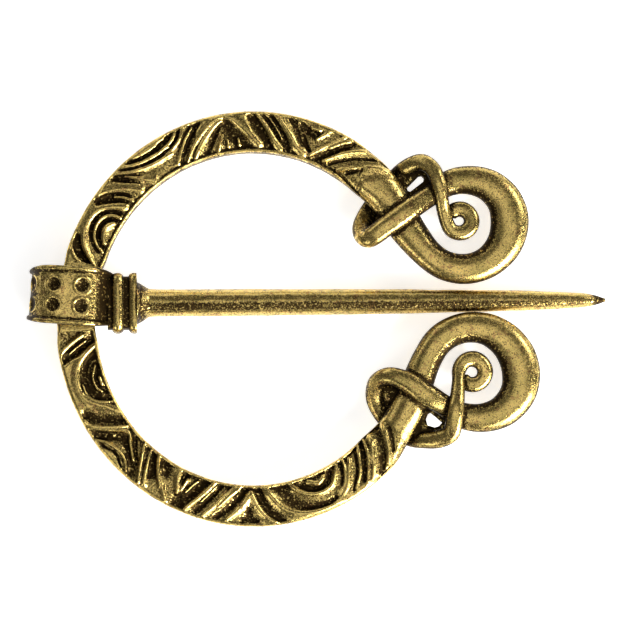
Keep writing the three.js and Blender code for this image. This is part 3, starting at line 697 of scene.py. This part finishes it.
def rows_of(items, key, width=1):
    """A value, or a row of width values, for each item."""
    values = np.empty(len(items) * width, np.float32)
    items.foreach_get(key, values)
    return values.reshape(-1, width).astype(float) if width > 1 else values.astype(float)


def stored_on(mesh, name):
    attribute = mesh.attributes[name]
    if attribute.data_type == "FLOAT_VECTOR":
        return rows_of(attribute.data, "vector", 3)
    return rows_of(attribute.data, "value")


def points_of(mesh):
    return rows_of(mesh.vertices, "co", 3)


def normals_of(mesh):
    return rows_of(mesh.vertex_normals, "vector", 3)


def place_points(mesh, places):
    mesh.vertices.foreach_set("co", places.ravel())


def forget_stored(mesh):
    """Removes what was stored for the sweep."""
    kept = ("position", "sharp_face", "material_index")
    for label in [a.name for a in mesh.attributes if not a.is_required and not a.name.startswith(".")]:
        if label not in kept:
            mesh.attributes.remove(mesh.attributes[label])


def add_mesh(mesh, part):
    """Adds a mesh to another, as one mesh."""
    work = bmesh.new()
    work.from_mesh(mesh)
    work.from_mesh(part)
    work.to_mesh(mesh)
    work.free()
    bpy.data.meshes.remove(part)


# ------ laying a casting in its place, which both pieces share

CREST_ROUNDS = 2


def crests(mesh):
    """How far each point stands out from its neighbours, from about -1 to 1."""
    places = points_of(mesh)
    pairs = np.empty(len(mesh.edges) * 2, np.int32)
    mesh.edges.foreach_get("vertices", pairs)
    pairs = pairs.reshape(-1, 2)
    ends = np.concatenate([pairs[:, 0], pairs[:, 1]])
    others = np.concatenate([pairs[:, 1], pairs[:, 0]])
    count = np.maximum(np.bincount(ends, minlength=len(places)), 1)

    def neighbours(values):
        return np.bincount(ends, values[others], len(places)) / count

    mean = np.column_stack([neighbours(places[:, axis]) for axis in range(3)])
    length = np.linalg.norm(places[ends] - places[others], axis=1)
    gap = np.bincount(ends, length, len(places)) / count
    out = np.einsum("ij,ij->i", places - mean, normals_of(mesh)) / np.maximum(gap, 1e-9)
    for _ in range(CREST_ROUNDS):
        out = 0.5 * out + 0.5 * neighbours(out)
    return out


def tilted(angle):
    """The turn that sets the side towards x lower."""
    low, flat = math.sin(angle), math.cos(angle)
    return np.array([[flat, 0, low], [0, 1, 0], [-low, 0, flat]])


def lay_down(mesh, turn, place):
    """Puts a casting where it rests, in metres and worn flat on the ground, with its faces outwards."""
    places = np.clip(points_of(mesh) @ turn.T + place, lowest, highest)
    place_points(mesh, places * MM)
    work = bmesh.new()
    work.from_mesh(mesh)
    bmesh.ops.remove_doubles(work, verts=work.verts, dist=1e-7)
    bmesh.ops.recalc_face_normals(work, faces=work.faces)
    if work.calc_volume(signed=True) < 0:
        bmesh.ops.reverse_faces(work, faces=work.faces)
    work.to_mesh(mesh)
    work.free()
    mesh.shade_smooth()
    store(mesh, "crest", crests(mesh))


def walls(mesh):
    """How steep each point's surface is, from 0 where it lies flat to 1 where it stands upright."""
    return smooth(0.88 - np.abs(normals_of(mesh)[:, 2]), 0, 0.45)


def ring_walls(mesh, centres):
    """How far each point of the flat rings, given in metres, has turned to face its ring's hole."""
    places, normals = points_of(mesh), normals_of(mesh)
    share = np.zeros(len(places))
    for centre in centres:
        inwards = centre - places[:, :2]
        away = np.linalg.norm(inwards, axis=1) / MM
        facing = np.sum(unit(inwards) * normals[:, :2], axis=1)
        share = np.maximum(share, stretch(away, 2.7, 3.0, 6.2, 7.0) * smooth(facing, 0.22, 0.62))
    return share


# ------ the finish, which both pieces share

RAYS = 22
RAY_LEAN = 0.96
RAY_LIFT = 0.03
HOLLOW_REACH = 1.7
# The last colour is the black-brown of the real oxide and of the painted shade alike.
GOLD, OLIVE, RUST, PATINA_AND_SHADE_COLOUR = (0.86, 0.61, 0.19), (0.42, 0.33, 0.09), (0.30, 0.11, 0.05), (0.016, 0.008, 0.003)
BRIGHTENING = 1.2
# How strongly each mark darkens: hollows take oxide and painted shade, steep walls take painted shade alone.
HOLLOW_PATINA_AND_SHADE, MARK_PATINA_AND_SHADE, WALL_SHADE, STAIN_EVERYWHERE, CREST_POLISH = 0.95, 0.95, 0.8, 0.1, 0.5


def hollows_tree():
    """Stores how shut in each point is: the share of rays from it that soon meet the piece again."""
    tree, given = geometry_tree("Hollows", {"Reach": "Float"})
    reach = given.out("Reach")
    normal = tree.add("GeometryNodeInputNormal")
    position = tree.add("GeometryNodeInputPosition")
    lifted = tree.vector("MULTIPLY_ADD", normal, (RAY_LIFT * MM,) * 3, position)
    total = None
    for index in range(RAYS):
        level = 1 - 2 * (index + 0.5) / RAYS
        swing = index * math.pi * (3 - math.sqrt(5))
        flat = math.sqrt(1 - level * level)
        way = [RAY_LEAN * step for step in (flat * math.cos(swing), flat * math.sin(swing), level)]
        ray = tree.vector("ADD", normal, way)
        aim = {"Source Position": lifted, "Ray Direction": ray, "Ray Length": reach}
        cast = tree.add("GeometryNodeRaycast", {}, {"Target Geometry": given.out("Geometry"), **aim})
        shut = cast.out("Is Hit") * (1 - cast.out("Hit Distance") / reach)
        total = shut if total is None else total + shut
    inputs = {"Geometry": given.out("Geometry"), "Name": "hollow", "Value": total / RAYS}
    kept = tree.add("GeometryNodeStoreNamedAttribute", {"data_type": "FLOAT", "domain": "POINT"}, inputs)
    finish_geometry(tree, kept, given.out("Finish"))
    return tree


def antique_gold(name, shift, brushed=0.0):
    """Gilt brass, polished on its crests, with black-brown oxide left in its hollows and pits, and painted
    shade in its hollows, on its steep walls and in marked places.
    """
    material = bpy.data.materials.new(name)
    material.use_nodes = True
    material.node_tree.nodes.clear()
    tree = Tree(material.node_tree)
    place = tree.add("ShaderNodeTexCoord").out("Object")
    place = tree.add("ShaderNodeMapping", {}, {"Vector": place, "Location": (shift, shift * 0.7, 0)})

    def noise(size, detail=3.0, rough=0.6, where=place):
        values = {"Vector": where, "Scale": 1 / (size * MM), "Detail": detail, "Roughness": rough}
        return tree.add("ShaderNodeTexNoise", {}, values)

    def stored(label):
        return tree.add("ShaderNodeAttribute", {"attribute_name": label}).out("Fac")

    def mixed(share, first, second):
        values = {"Factor_Float": share, "A_Color": first, "B_Color": second}
        return tree.add("ShaderNodeMix", {"data_type": "RGBA"}, values).out("Result_Color")

    clouds = noise(2.0, 4)
    grain = noise(0.27, 5, 0.7)
    specks = noise(0.12, 2, 0.5)
    worn_here = 0.25 + noise(1.1, 3).ease(0.42, 0.58) * 0.75
    raised = stored("crest").ease(0.015, 0.12) * worn_here

    # Painted shade: the hollows, the steep walls and the stored mark are darkened here as well as the real
    # oxide.
    patina_and_shade = stored("hollow").ease(0.03, 0.24) * HOLLOW_PATINA_AND_SHADE + stored("patina_and_shade_mark") * MARK_PATINA_AND_SHADE
    patina_and_shade = patina_and_shade + stored("wall") * WALL_SHADE + STAIN_EVERYWHERE - raised * CREST_POLISH
    dark_share = (patina_and_shade + (grain - 0.5) * 3.2 + (specks - 0.5) * 2.0).ease(0.3, 0.66)
    pits = (specks + grain * 0.5).ease(0.82, 0.92) * 0.8
    glints = noise(0.27, 2, 0.5).ease(0.6, 0.7)
    dark = ((dark_share + pits).clamp() * (1 - glints * 0.7)).clamp()

    gilt = (clouds * 1.9 - 0.33 + (grain - 0.5) * 1.8).clamp()
    body = mixed(gilt, (*OLIVE, 1), (*GOLD, 1))
    body = mixed(raised * 0.7, body, (*(min(1.0, part * BRIGHTENING) for part in GOLD), 1))
    rusty = (noise(0.7, 3) - 0.57).ease(0.0, 0.08) * 0.5
    colour = mixed(dark * 0.98, mixed(rusty, body, (*RUST, 1)), (*PATINA_AND_SHADE_COLOUR, 1))

    height = grain * (0.55 + 0.6 * dark) + specks * 0.4
    if brushed:
        drawn_out = tree.add("ShaderNodeMapping", {}, {"Vector": place, "Scale": (0.06, 1, 1)})
        height = height + noise(0.5, where=drawn_out) * brushed
    relief = tree.add("ShaderNodeBump", {}, {"Strength": 0.7, "Distance": 0.035 * MM, "Height": height})
    values = {
        "Base Color": colour,
        "Metallic": 1.0,
        "Roughness": (0.2 + (grain - 0.5) * 0.35 + dark * 0.3 - raised * 0.04).clamp(0.12, 0.8),
        "Normal": relief,
        "Coat Weight": ((1 - dark) * 0.25).clamp(),
        "Coat Roughness": 0.2,
    }
    shader = tree.add("ShaderNodeBsdfPrincipled", {}, values).out("BSDF")
    tree.add("ShaderNodeOutputMaterial", {}, {"Surface": shader})
    return material


hoop_finish = antique_gold("Antique gold, cast", 0.011)
hollows = hollows_tree()

strand = cast_strand(
    "strand",
    hoop_finish,
    spine,
    turn,
    boxy,
    half_width=samples[:, 3] / 2 * tip,
    half_height=samples[:, 4] / 2 * tip,
    roundness=np.clip(samples[:, 5], 0, 1),
    fullness=samples[:, 6],
    main=is_main,
)

ROUGH_LEVEL, ROUGH_CHANNEL = 0.01, 0.07
WAVE_LENGTH, WAVE_HEIGHT = 1.4, 0.02

mesh = strand.data
places = points_of(mesh)
top = stored_on(mesh, "boxy")[:, 1] > 0.97
on_face = (stored_on(mesh, "main") > 0.5) & top
degrees = np.degrees(np.arctan2(places[:, 1], places[:, 0])) % 360
side = (np.hypot(places[:, 0], places[:, 1]) - middle_radius(degrees)) / BAR_HALF_WIDTH
carved = stretch(degrees, CARVED_FROM, CARVED_FROM + 6, CARVED_TO - 6, CARVED_TO)
carved *= 1 - stretch(degrees, PLAIN_FROM - 1.5, PLAIN_FROM, PLAIN_TO, PLAIN_TO + 1.5)
carved *= 1 - smooth(side, 0.9, 0.97)
fall = INNER_FALL * smooth(-side, 0.45, 1.0)
height = np.zeros(len(places))
height[on_face] = carve(np.column_stack([degrees, side])[on_face]) - fall[on_face]
height *= smooth(carved, 0.02, 0.4)
patina_and_shade_mark = np.clip((height + fall) / CHANNEL_LEVEL, 0, 1) * on_face
rough = soft_noise(places, 0.3, 3) * 0.5 + soft_noise(places, 0.16, 5) * 0.5
height += on_face * rough * (ROUGH_LEVEL + ROUGH_CHANNEL * patina_and_shade_mark)
places += stored_on(mesh, "rise") * height[:, None]
waves = soft_noise(places, WAVE_LENGTH, 11) * WAVE_HEIGHT
place_points(mesh, places + waves[:, None])
forget_stored(mesh)
# The stored mark is oxide in the carved channels here; on the webs, collar and shaft it also holds painted
# shade.
store(mesh, "patina_and_shade_mark", patina_and_shade_mark)
store(mesh, "face", on_face)

# ------ the webs of metal that fill the corners between the strands, coloured dark as painted shade

WEB_LOW, WEB_HIGH = -0.9, 0.1
WEB_CUTS = 3
WEB_SHADE = 0.85
UPPER_EYE = [
    *((15.2, 13.6), (15.3, 13.32), (15.55, 13.22), (16.95, 14.3), (17.0, 14.65), (16.75, 14.9)),
    (16.45, 14.85),
]
LOWER_EYE = [
    *((17.12, -10.4), (17.35, -9.85), (17.65, -9.67), (18.84, -10.7), (18.5, -11.05), (18.05, -11.2)),
    (17.3, -11.0),
]
WEBS = [
    ([(14.3, 12.9), (16.6, 11.7), (18.4, 13.3), (18.0, 15.2), (16.2, 15.9), (14.2, 15.0)], [UPPER_EYE]),
    ([(11.6, 9.4), (13.3, 8.9), (13.6, 11.0), (12.4, 11.6)], []),
    ([(16.2, -12.6), (19.2, -12.3), (19.9, -10.8), (18.9, -8.6), (15.8, -9.3), (15.2, -11.0)], [LOWER_EYE]),
    ([(12.4, -6.6), (13.0, -9.0), (14.2, -8.8), (14.8, -7.0)], []),
]


def web_mesh(corners, eyes):
    """A flat plate with straight sides and eyes through it, as a closed mesh."""
    work = bmesh.new()
    loops = [[work.verts.new((x, y, WEB_HIGH)) for x, y in loop] for loop in [corners, *eyes]]
    edges = [work.edges.new(pair) for loop in loops for pair in zip(loop, [*loop[1:], loop[0]])]
    made = bmesh.ops.triangle_fill(work, use_beauty=True, use_dissolve=False, edges=edges, normal=(0, 0, 1))
    faces = [g for g in made["geom"] if isinstance(g, bmesh.types.BMFace)]
    grown = bmesh.ops.extrude_face_region(work, geom=faces)
    for vertex in (g for g in grown["geom"] if isinstance(g, bmesh.types.BMVert)):
        vertex.co.z = WEB_LOW
    bmesh.ops.subdivide_edges(work, edges=work.edges, cuts=WEB_CUTS, use_grid_fill=True)
    bmesh.ops.triangulate(work, faces=work.faces)
    plate = bpy.data.meshes.new("web")
    work.to_mesh(plate)
    work.free()
    # Painted shade: the whole plate is marked dark to stand for the shaded hollow it fills.
    store(plate, "patina_and_shade_mark", WEB_SHADE)
    return plate


for corners, eyes in WEBS:
    add_mesh(mesh, web_mesh(corners, eyes))

FACE_SPARED, RING_WALL_SHADE = 0.75, 1.35
lay_down(mesh, tilted(HOOP_TILT), HOOP_PLACE)
ring_centres = [(HOOP_PLACE[:2] + ring) * MM for ring in (UPPER_RING, LOWER_RING)]
# Painted shade on steep walls, mostly spared on the carved face, and stronger on the rings' inner walls that
# face their holes.
steep = walls(mesh) * (1 - FACE_SPARED * stored_on(mesh, "face"))
store(mesh, "wall", np.maximum(steep, RING_WALL_SHADE * ring_walls(mesh, ring_centres)))

hoop = run_geometry(strand, hollows, {"Reach": HOLLOW_REACH * MM, "Finish": hoop_finish}, "hoop_casting")
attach(hoop, "hoop")
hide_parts("hoop")

# ---------------------------------------------------------------- the pin
# A second casting in the same brass. Its collar is a strip bent round the bar of the hoop and left open
# at a seam, with a rim along both edges and six punched dimples, and it turns freely on the bar. Two
# ribs mark where the shaft begins, which is round, slightly flared there and drawn to a point.

# The pin's lengths start from the hinge, with x towards the tip.
PIN_SLOPE = math.radians(2.75)
PIN_TURN = math.radians(-3.5)

COLLAR_HEIGHT, COLLAR_WALL, COLLAR_STEP = 6.9, 0.72, 0.11
COLLAR_RADIUS = (COLLAR_HEIGHT - COLLAR_WALL) / 2
COLLAR_LEFT, COLLAR_RIGHT = -1.6, 0.34
COLLAR_HALF_WIDTH, CROWN_SPREAD = 2.6, 0.4
SEAM, SEAM_GAP = math.radians(-38), 0.3
RIM_RISE, RIM_FOOT = 0.26, 0.8
DIMPLE_RADIUS, DIMPLE_DEPTH, LIP_RISE = 0.76, 0.32, 0.07

pin_finish = antique_gold("Antique gold, brushed", 0.037, brushed=0.25)

# The middle of the collar's wall, from the seam over the top, down the closed side and back.
right = np.linspace(SEAM + 0.05, math.pi / 2, 200)
left = np.linspace(math.pi / 2, 1.5 * math.pi, 200)
back = np.linspace(-math.pi / 2, SEAM - SEAM_GAP / COLLAR_RADIUS, 60)
turns = np.concatenate([right, left, back])
middles = np.repeat([COLLAR_RIGHT, COLLAR_LEFT, COLLAR_RIGHT], [len(right), len(left), len(back)])
line = np.column_stack([middles + COLLAR_RADIUS * np.cos(turns), 0 * turns, COLLAR_RADIUS * np.sin(turns)])
length = np.concatenate([[0], np.cumsum(np.linalg.norm(np.diff(line, axis=0), axis=1))])
even = np.linspace(0, length[-1], round(length[-1] / COLLAR_STEP) + 1)
spine = np.column_stack([np.interp(even, length, line[:, axis]) for axis in range(3)])[::-1]

half = [(0.985, -1), (1, -0.7), (1, 0.45), (0.985, 0.8), (0.955, 1), (0.89, 1), (0.845, 0.82)]
half.append((RIM_FOOT, 1 - RIM_RISE / (COLLAR_WALL / 2)))
boxy = outline([*half, *mirrored(half)], [2, 5, 2, 2, 2, 2, 2, 44, 2, 2, 2, 2, 2, 5, 2, 10])
collar = cast_strand(
    "collar",
    pin_finish,
    spine,
    np.linspace(0, 2 * math.pi, len(boxy), endpoint=False),
    boxy,
    across=np.tile([0.0, 1.0, 0.0], (len(spine), 1)),
    half_width=COLLAR_HALF_WIDTH + CROWN_SPREAD * smooth(spine[:, 2], 0, COLLAR_RADIUS),
    half_height=COLLAR_WALL / 2,
    roundness=0,
    fullness=1,
)

# Painted shade down the side by the ribs, on the closed side and inside; darker also along the foot of each
# rim and in the dimples, and lighter on each dimple's lip.
mesh = collar.data
places = points_of(mesh)
level, height = stored_on(mesh, "boxy")[:, :2].T
outer = height > 0.2
patina_and_shade = np.where(outer, 0.95 * bump(np.abs(level), RIM_FOOT, 0.06), 1.0)
patina_and_shade = np.maximum(patina_and_shade, 0.95 * smooth(places[:, 0], 1.5, 2.5))
patina_and_shade = np.maximum(patina_and_shade, 0.6 * smooth(-places[:, 0], 3.4, 4.5))
push = soft_noise(places, 0.9, 21) * 0.02 + soft_noise(places, 0.35, 22) * 0.012
reach = COLLAR_RADIUS + COLLAR_WALL / 2 - RIM_RISE
for row in (-1.06, 1.06):
    for x, lean in ((0.6, 0), (COLLAR_LEFT, math.asin(0.75 / reach)), (COLLAR_LEFT, math.radians(66))):
        centre = np.array([x - reach * math.sin(lean), row, reach * math.cos(lean)])
        away = np.linalg.norm(places - centre, axis=1) / DIMPLE_RADIUS
        push += outer * LIP_RISE * bump(away, 1.1, 0.16)
        push -= outer * DIMPLE_DEPTH * np.clip(1 - away**2, 0, 1) ** 0.8
        patina_and_shade = np.maximum(patina_and_shade, 0.95 * (1 - smooth(away, 0.8, 1.0)) * outer)
        patina_and_shade -= 0.4 * bump(away, 1.12, 0.2) * outer
place_points(mesh, places + stored_on(mesh, "rise") * push[:, None])
forget_stored(mesh)
store(mesh, "patina_and_shade_mark", np.clip(patina_and_shade, 0, 1))
store(mesh, "brushed", 0)

# ------ the neck, the two ribs and the shaft, as one turned piece

SHAFT_SET_DOWN = 0.62
SHAFT_TURN = math.radians(4.1)
NECK_FROM, SHAFT_FROM, SHAFT_TIP = 3.2, 8.0, 54.8
NECK_STEP, SHAFT_STEP, SHAFT_SIDES, SHAFT_SMOOTHING = 0.05, 0.16, 44, 9
NECK_HALF_WIDTH, NECK_HALF_HEIGHT, NECK_FULLNESS = 2.75, 1.5, 0.34
RIB_CENTRES, RIB_HALF_LENGTH, RIB_SIDE_RISE, RIB_TOP_RISE = (4.24, 5.95), 0.57, 0.36, 0.4
FLARE_FROM, FLARE_TO, FLARE_RADIUS, FLARE_END_RADIUS = 6.2, 7.7, 2.15, 1.46
RIB_VALLEYS = [(2.6, 3.6), (4.9, 5.3), (6.5, 6.65)]
SHAFT_RADII = [
    *((8.0, 1.44), (9.8, 1.42), (17.3, 1.42), (25, 1.36), (34, 1.28), (40.5, 1.16), (46.5, 1.05)),
    *((50, 0.92), (52.6, 0.76), (53.9, 0.5), (54.6, 0.26), (54.8, 0.06)),
]

# Each row is how far along, half the width, half the height and the fullness.
rows = []
for along in np.arange(NECK_FROM, SHAFT_FROM, NECK_STEP):
    half, tall, full = NECK_HALF_WIDTH, NECK_HALF_HEIGHT, NECK_FULLNESS
    for centre in RIB_CENTRES:
        swell = max(0, 1 - ((along - centre) / RIB_HALF_LENGTH) ** 2) ** 0.5
        half, tall = half + RIB_SIDE_RISE * swell, tall + RIB_TOP_RISE * swell
    if along > FLARE_FROM:
        drawn_in = (FLARE_RADIUS - FLARE_END_RADIUS) * smooth(along, FLARE_FROM - 0.05, FLARE_TO)
        half, tall = FLARE_RADIUS - drawn_in, FLARE_RADIUS - drawn_in - 0.03
        full = 0.5 + 0.5 * min(1, (along - FLARE_FROM) / 0.4)
    rows.append([along, half, tall, full])
for along in np.arange(SHAFT_FROM + 0.05, SHAFT_TIP, SHAFT_STEP):
    radius = np.interp(along, *zip(*SHAFT_RADII))
    rows.append([along, radius, radius, 1.0])
rows = np.array([*rows, [SHAFT_TIP, 0.05, 0.05, 1.0]])
late = rows[:, 0] > SHAFT_FROM
for column in (1, 2):
    padded = np.pad(rows[late, column], SHAFT_SMOOTHING // 2, "edge")
    rows[late, column] = np.convolve(padded, np.ones(SHAFT_SMOOTHING) / SHAFT_SMOOTHING, "valid")
rows[-1, 1:3] = 0.04

aim = np.array([math.cos(SHAFT_TURN), math.sin(SHAFT_TURN), 0])
start = [0, -SHAFT_SET_DOWN, 0]
shaft = cast_strand(
    "shaft",
    pin_finish,
    rows[:, :1] * aim + start,
    np.linspace(0, 2 * math.pi, SHAFT_SIDES, endpoint=False),
    None,
    half_width=rows[:, 1],
    half_height=rows[:, 2],
    roundness=1,
    fullness=rows[:, 3],
)

mesh = shaft.data
places = points_of(mesh)
along = places @ aim
normals = unit(places - (along[:, None] * aim + start))
wear = soft_noise(places * [0.35, 1, 1], 0.8, 31) * 0.03
wear += soft_noise(places * [0.5, 1, 1], 0.35, 32) * 0.014
places += normals * (wear * stretch(along, 6.5, 8, 52, 54))[:, None]
place_points(mesh, places)
forget_stored(mesh)

# Darker along a band on the near side, between the ribs and at the very tip, with painted shade under the
# flare.
lean = np.degrees(np.arctan2(-normals[:, 1], normals[:, 2]))
band = stretch(lean, -5, 6, 34, 44) * smooth(along, 6.3, 7.5) * (1 - 0.4 * smooth(along, 42, 50))
band *= 0.85 + 0.15 * soft_noise(places, 2.2, 41)
valley = sum(stretch(along, low - 0.12, low, high, high + 0.12) for low, high in RIB_VALLEYS)
patina_and_shade = np.maximum(np.maximum(band, 0.9 * valley), 0.9 * smooth(along, 53.0, 53.8))
patina_and_shade += 0.5 * stretch(along, 6.2, 6.3, 6.3, 8.2)
store(mesh, "patina_and_shade_mark", np.clip(patina_and_shade, 0, 1))
store(mesh, "brushed", smooth(along, 6.4, 7.4))

SHAFT_SPARED = 0.8
swing, aside = math.cos(PIN_TURN), math.sin(PIN_TURN)
swung = np.array([[swing, -aside, 0], [aside, swing, 0], [0, 0, 1]])
add_mesh(collar.data, mesh)
lay_down(collar.data, swung @ tilted(PIN_SLOPE), HINGE)
# Painted shade on the steep walls of the collar and neck, mostly spared on the shaft.
steep = walls(collar.data) * (1 - SHAFT_SPARED * stored_on(collar.data, "brushed"))
store(collar.data, "wall", steep)
pin = run_geometry(collar, hollows, {"Reach": HOLLOW_REACH * MM, "Finish": pin_finish}, "pin_casting")
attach(pin, "pin")
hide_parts("pin")

# ---------------------------------------------------------------- the floor, the light and the camera
# A sheet of white paper under the brooch, a broad window low on the right with softer lamps round the
# rest, and a camera that looks down from above, a little from the near side.

FLOOR_HALF, FLOOR_DROP = 0.6, 0.0002
floor_mesh = bpy.data.meshes.new("floor")
corners = [(x * FLOOR_HALF, y * FLOOR_HALF, 0) for x, y in ((-1, -1), (1, -1), (1, 1), (-1, 1))]
floor_mesh.from_pydata(corners, [], [(0, 1, 2, 3)])
floor = new_object("floor", floor_mesh)
floor.location.z = -FLOOR_DROP
paper = bpy.data.materials.new("White paper")
paper.use_nodes = True
paper_look = {
    "Base Color": (0.93, 0.93, 0.93, 1),
    "Roughness": 0.9,
    "Emission Color": (1, 1, 1, 1),
    "Emission Strength": 0.65,
}
for label, value in paper_look.items():
    paper.node_tree.nodes["Principled BSDF"].inputs[label].default_value = value
floor_mesh.materials.append(paper)
floor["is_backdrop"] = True

world = bpy.data.worlds.new("Studio")
world.use_nodes = True
world.node_tree.nodes["Background"].inputs["Color"].default_value = (1, 1, 1, 1)
world.node_tree.nodes["Background"].inputs["Strength"].default_value = 0.10
bpy.context.scene.world = world


def soft_light(name, where, size, power):
    """A lamp that faces the brooch. Places and sizes are metres, and power is watts."""
    lamp = bpy.data.lights.new(name, "AREA")
    lamp.shape = "RECTANGLE"
    lamp.size, lamp.size_y = size
    lamp.energy = power
    light = new_object(name, lamp)
    light.location = where
    light.rotation_euler = (-Vector(where)).to_track_quat("-Z", "Y").to_euler()


soft_light("window", (0.24, -0.22, 0.18), (0.32, 0.22), 1.9)
soft_light("key", (0.20, -0.16, 0.16), (0.05, 0.05), 0.6)
soft_light("upper left", (-0.20, 0.22, 0.20), (0.22, 0.14), 0.10)
soft_light("far side", (0.02, 0.34, 0.09), (0.5, 0.12), 0.2)
soft_light("ceiling", (0.05, -0.06, 0.55), (0.34, 0.34), 0.31)
soft_light("upper right", (0.26, 0.16, 0.18), (0.14, 0.12), 0.3)
soft_light("lower left", (-0.22, -0.22, 0.18), (0.14, 0.12), 0.14)

VIEW_WIDTH = 65.8 * MM
VIEW_TILT = math.radians(4)
LOOK_AT = Vector((0.2, 0.0, 3.0)) * MM
LENS, SENSOR = 180, 36
distance = VIEW_WIDTH / 2 / (SENSOR / 2 / LENS)
eye = bpy.data.cameras.new("camera")
eye.lens, eye.sensor_width = LENS, SENSOR
eye.clip_start, eye.clip_end = 0.01, 10
camera = new_object("camera", eye)
camera.location = LOOK_AT + distance * Vector((0, -math.sin(VIEW_TILT), math.cos(VIEW_TILT)))
camera.rotation_euler = (VIEW_TILT, 0, 0)
bpy.context.scene.camera = camera
bpy.context.scene.view_settings.view_transform = "Standard"

corners = {"cad": [list(c) for c in cad_box], "visual": [list(c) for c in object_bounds()]}
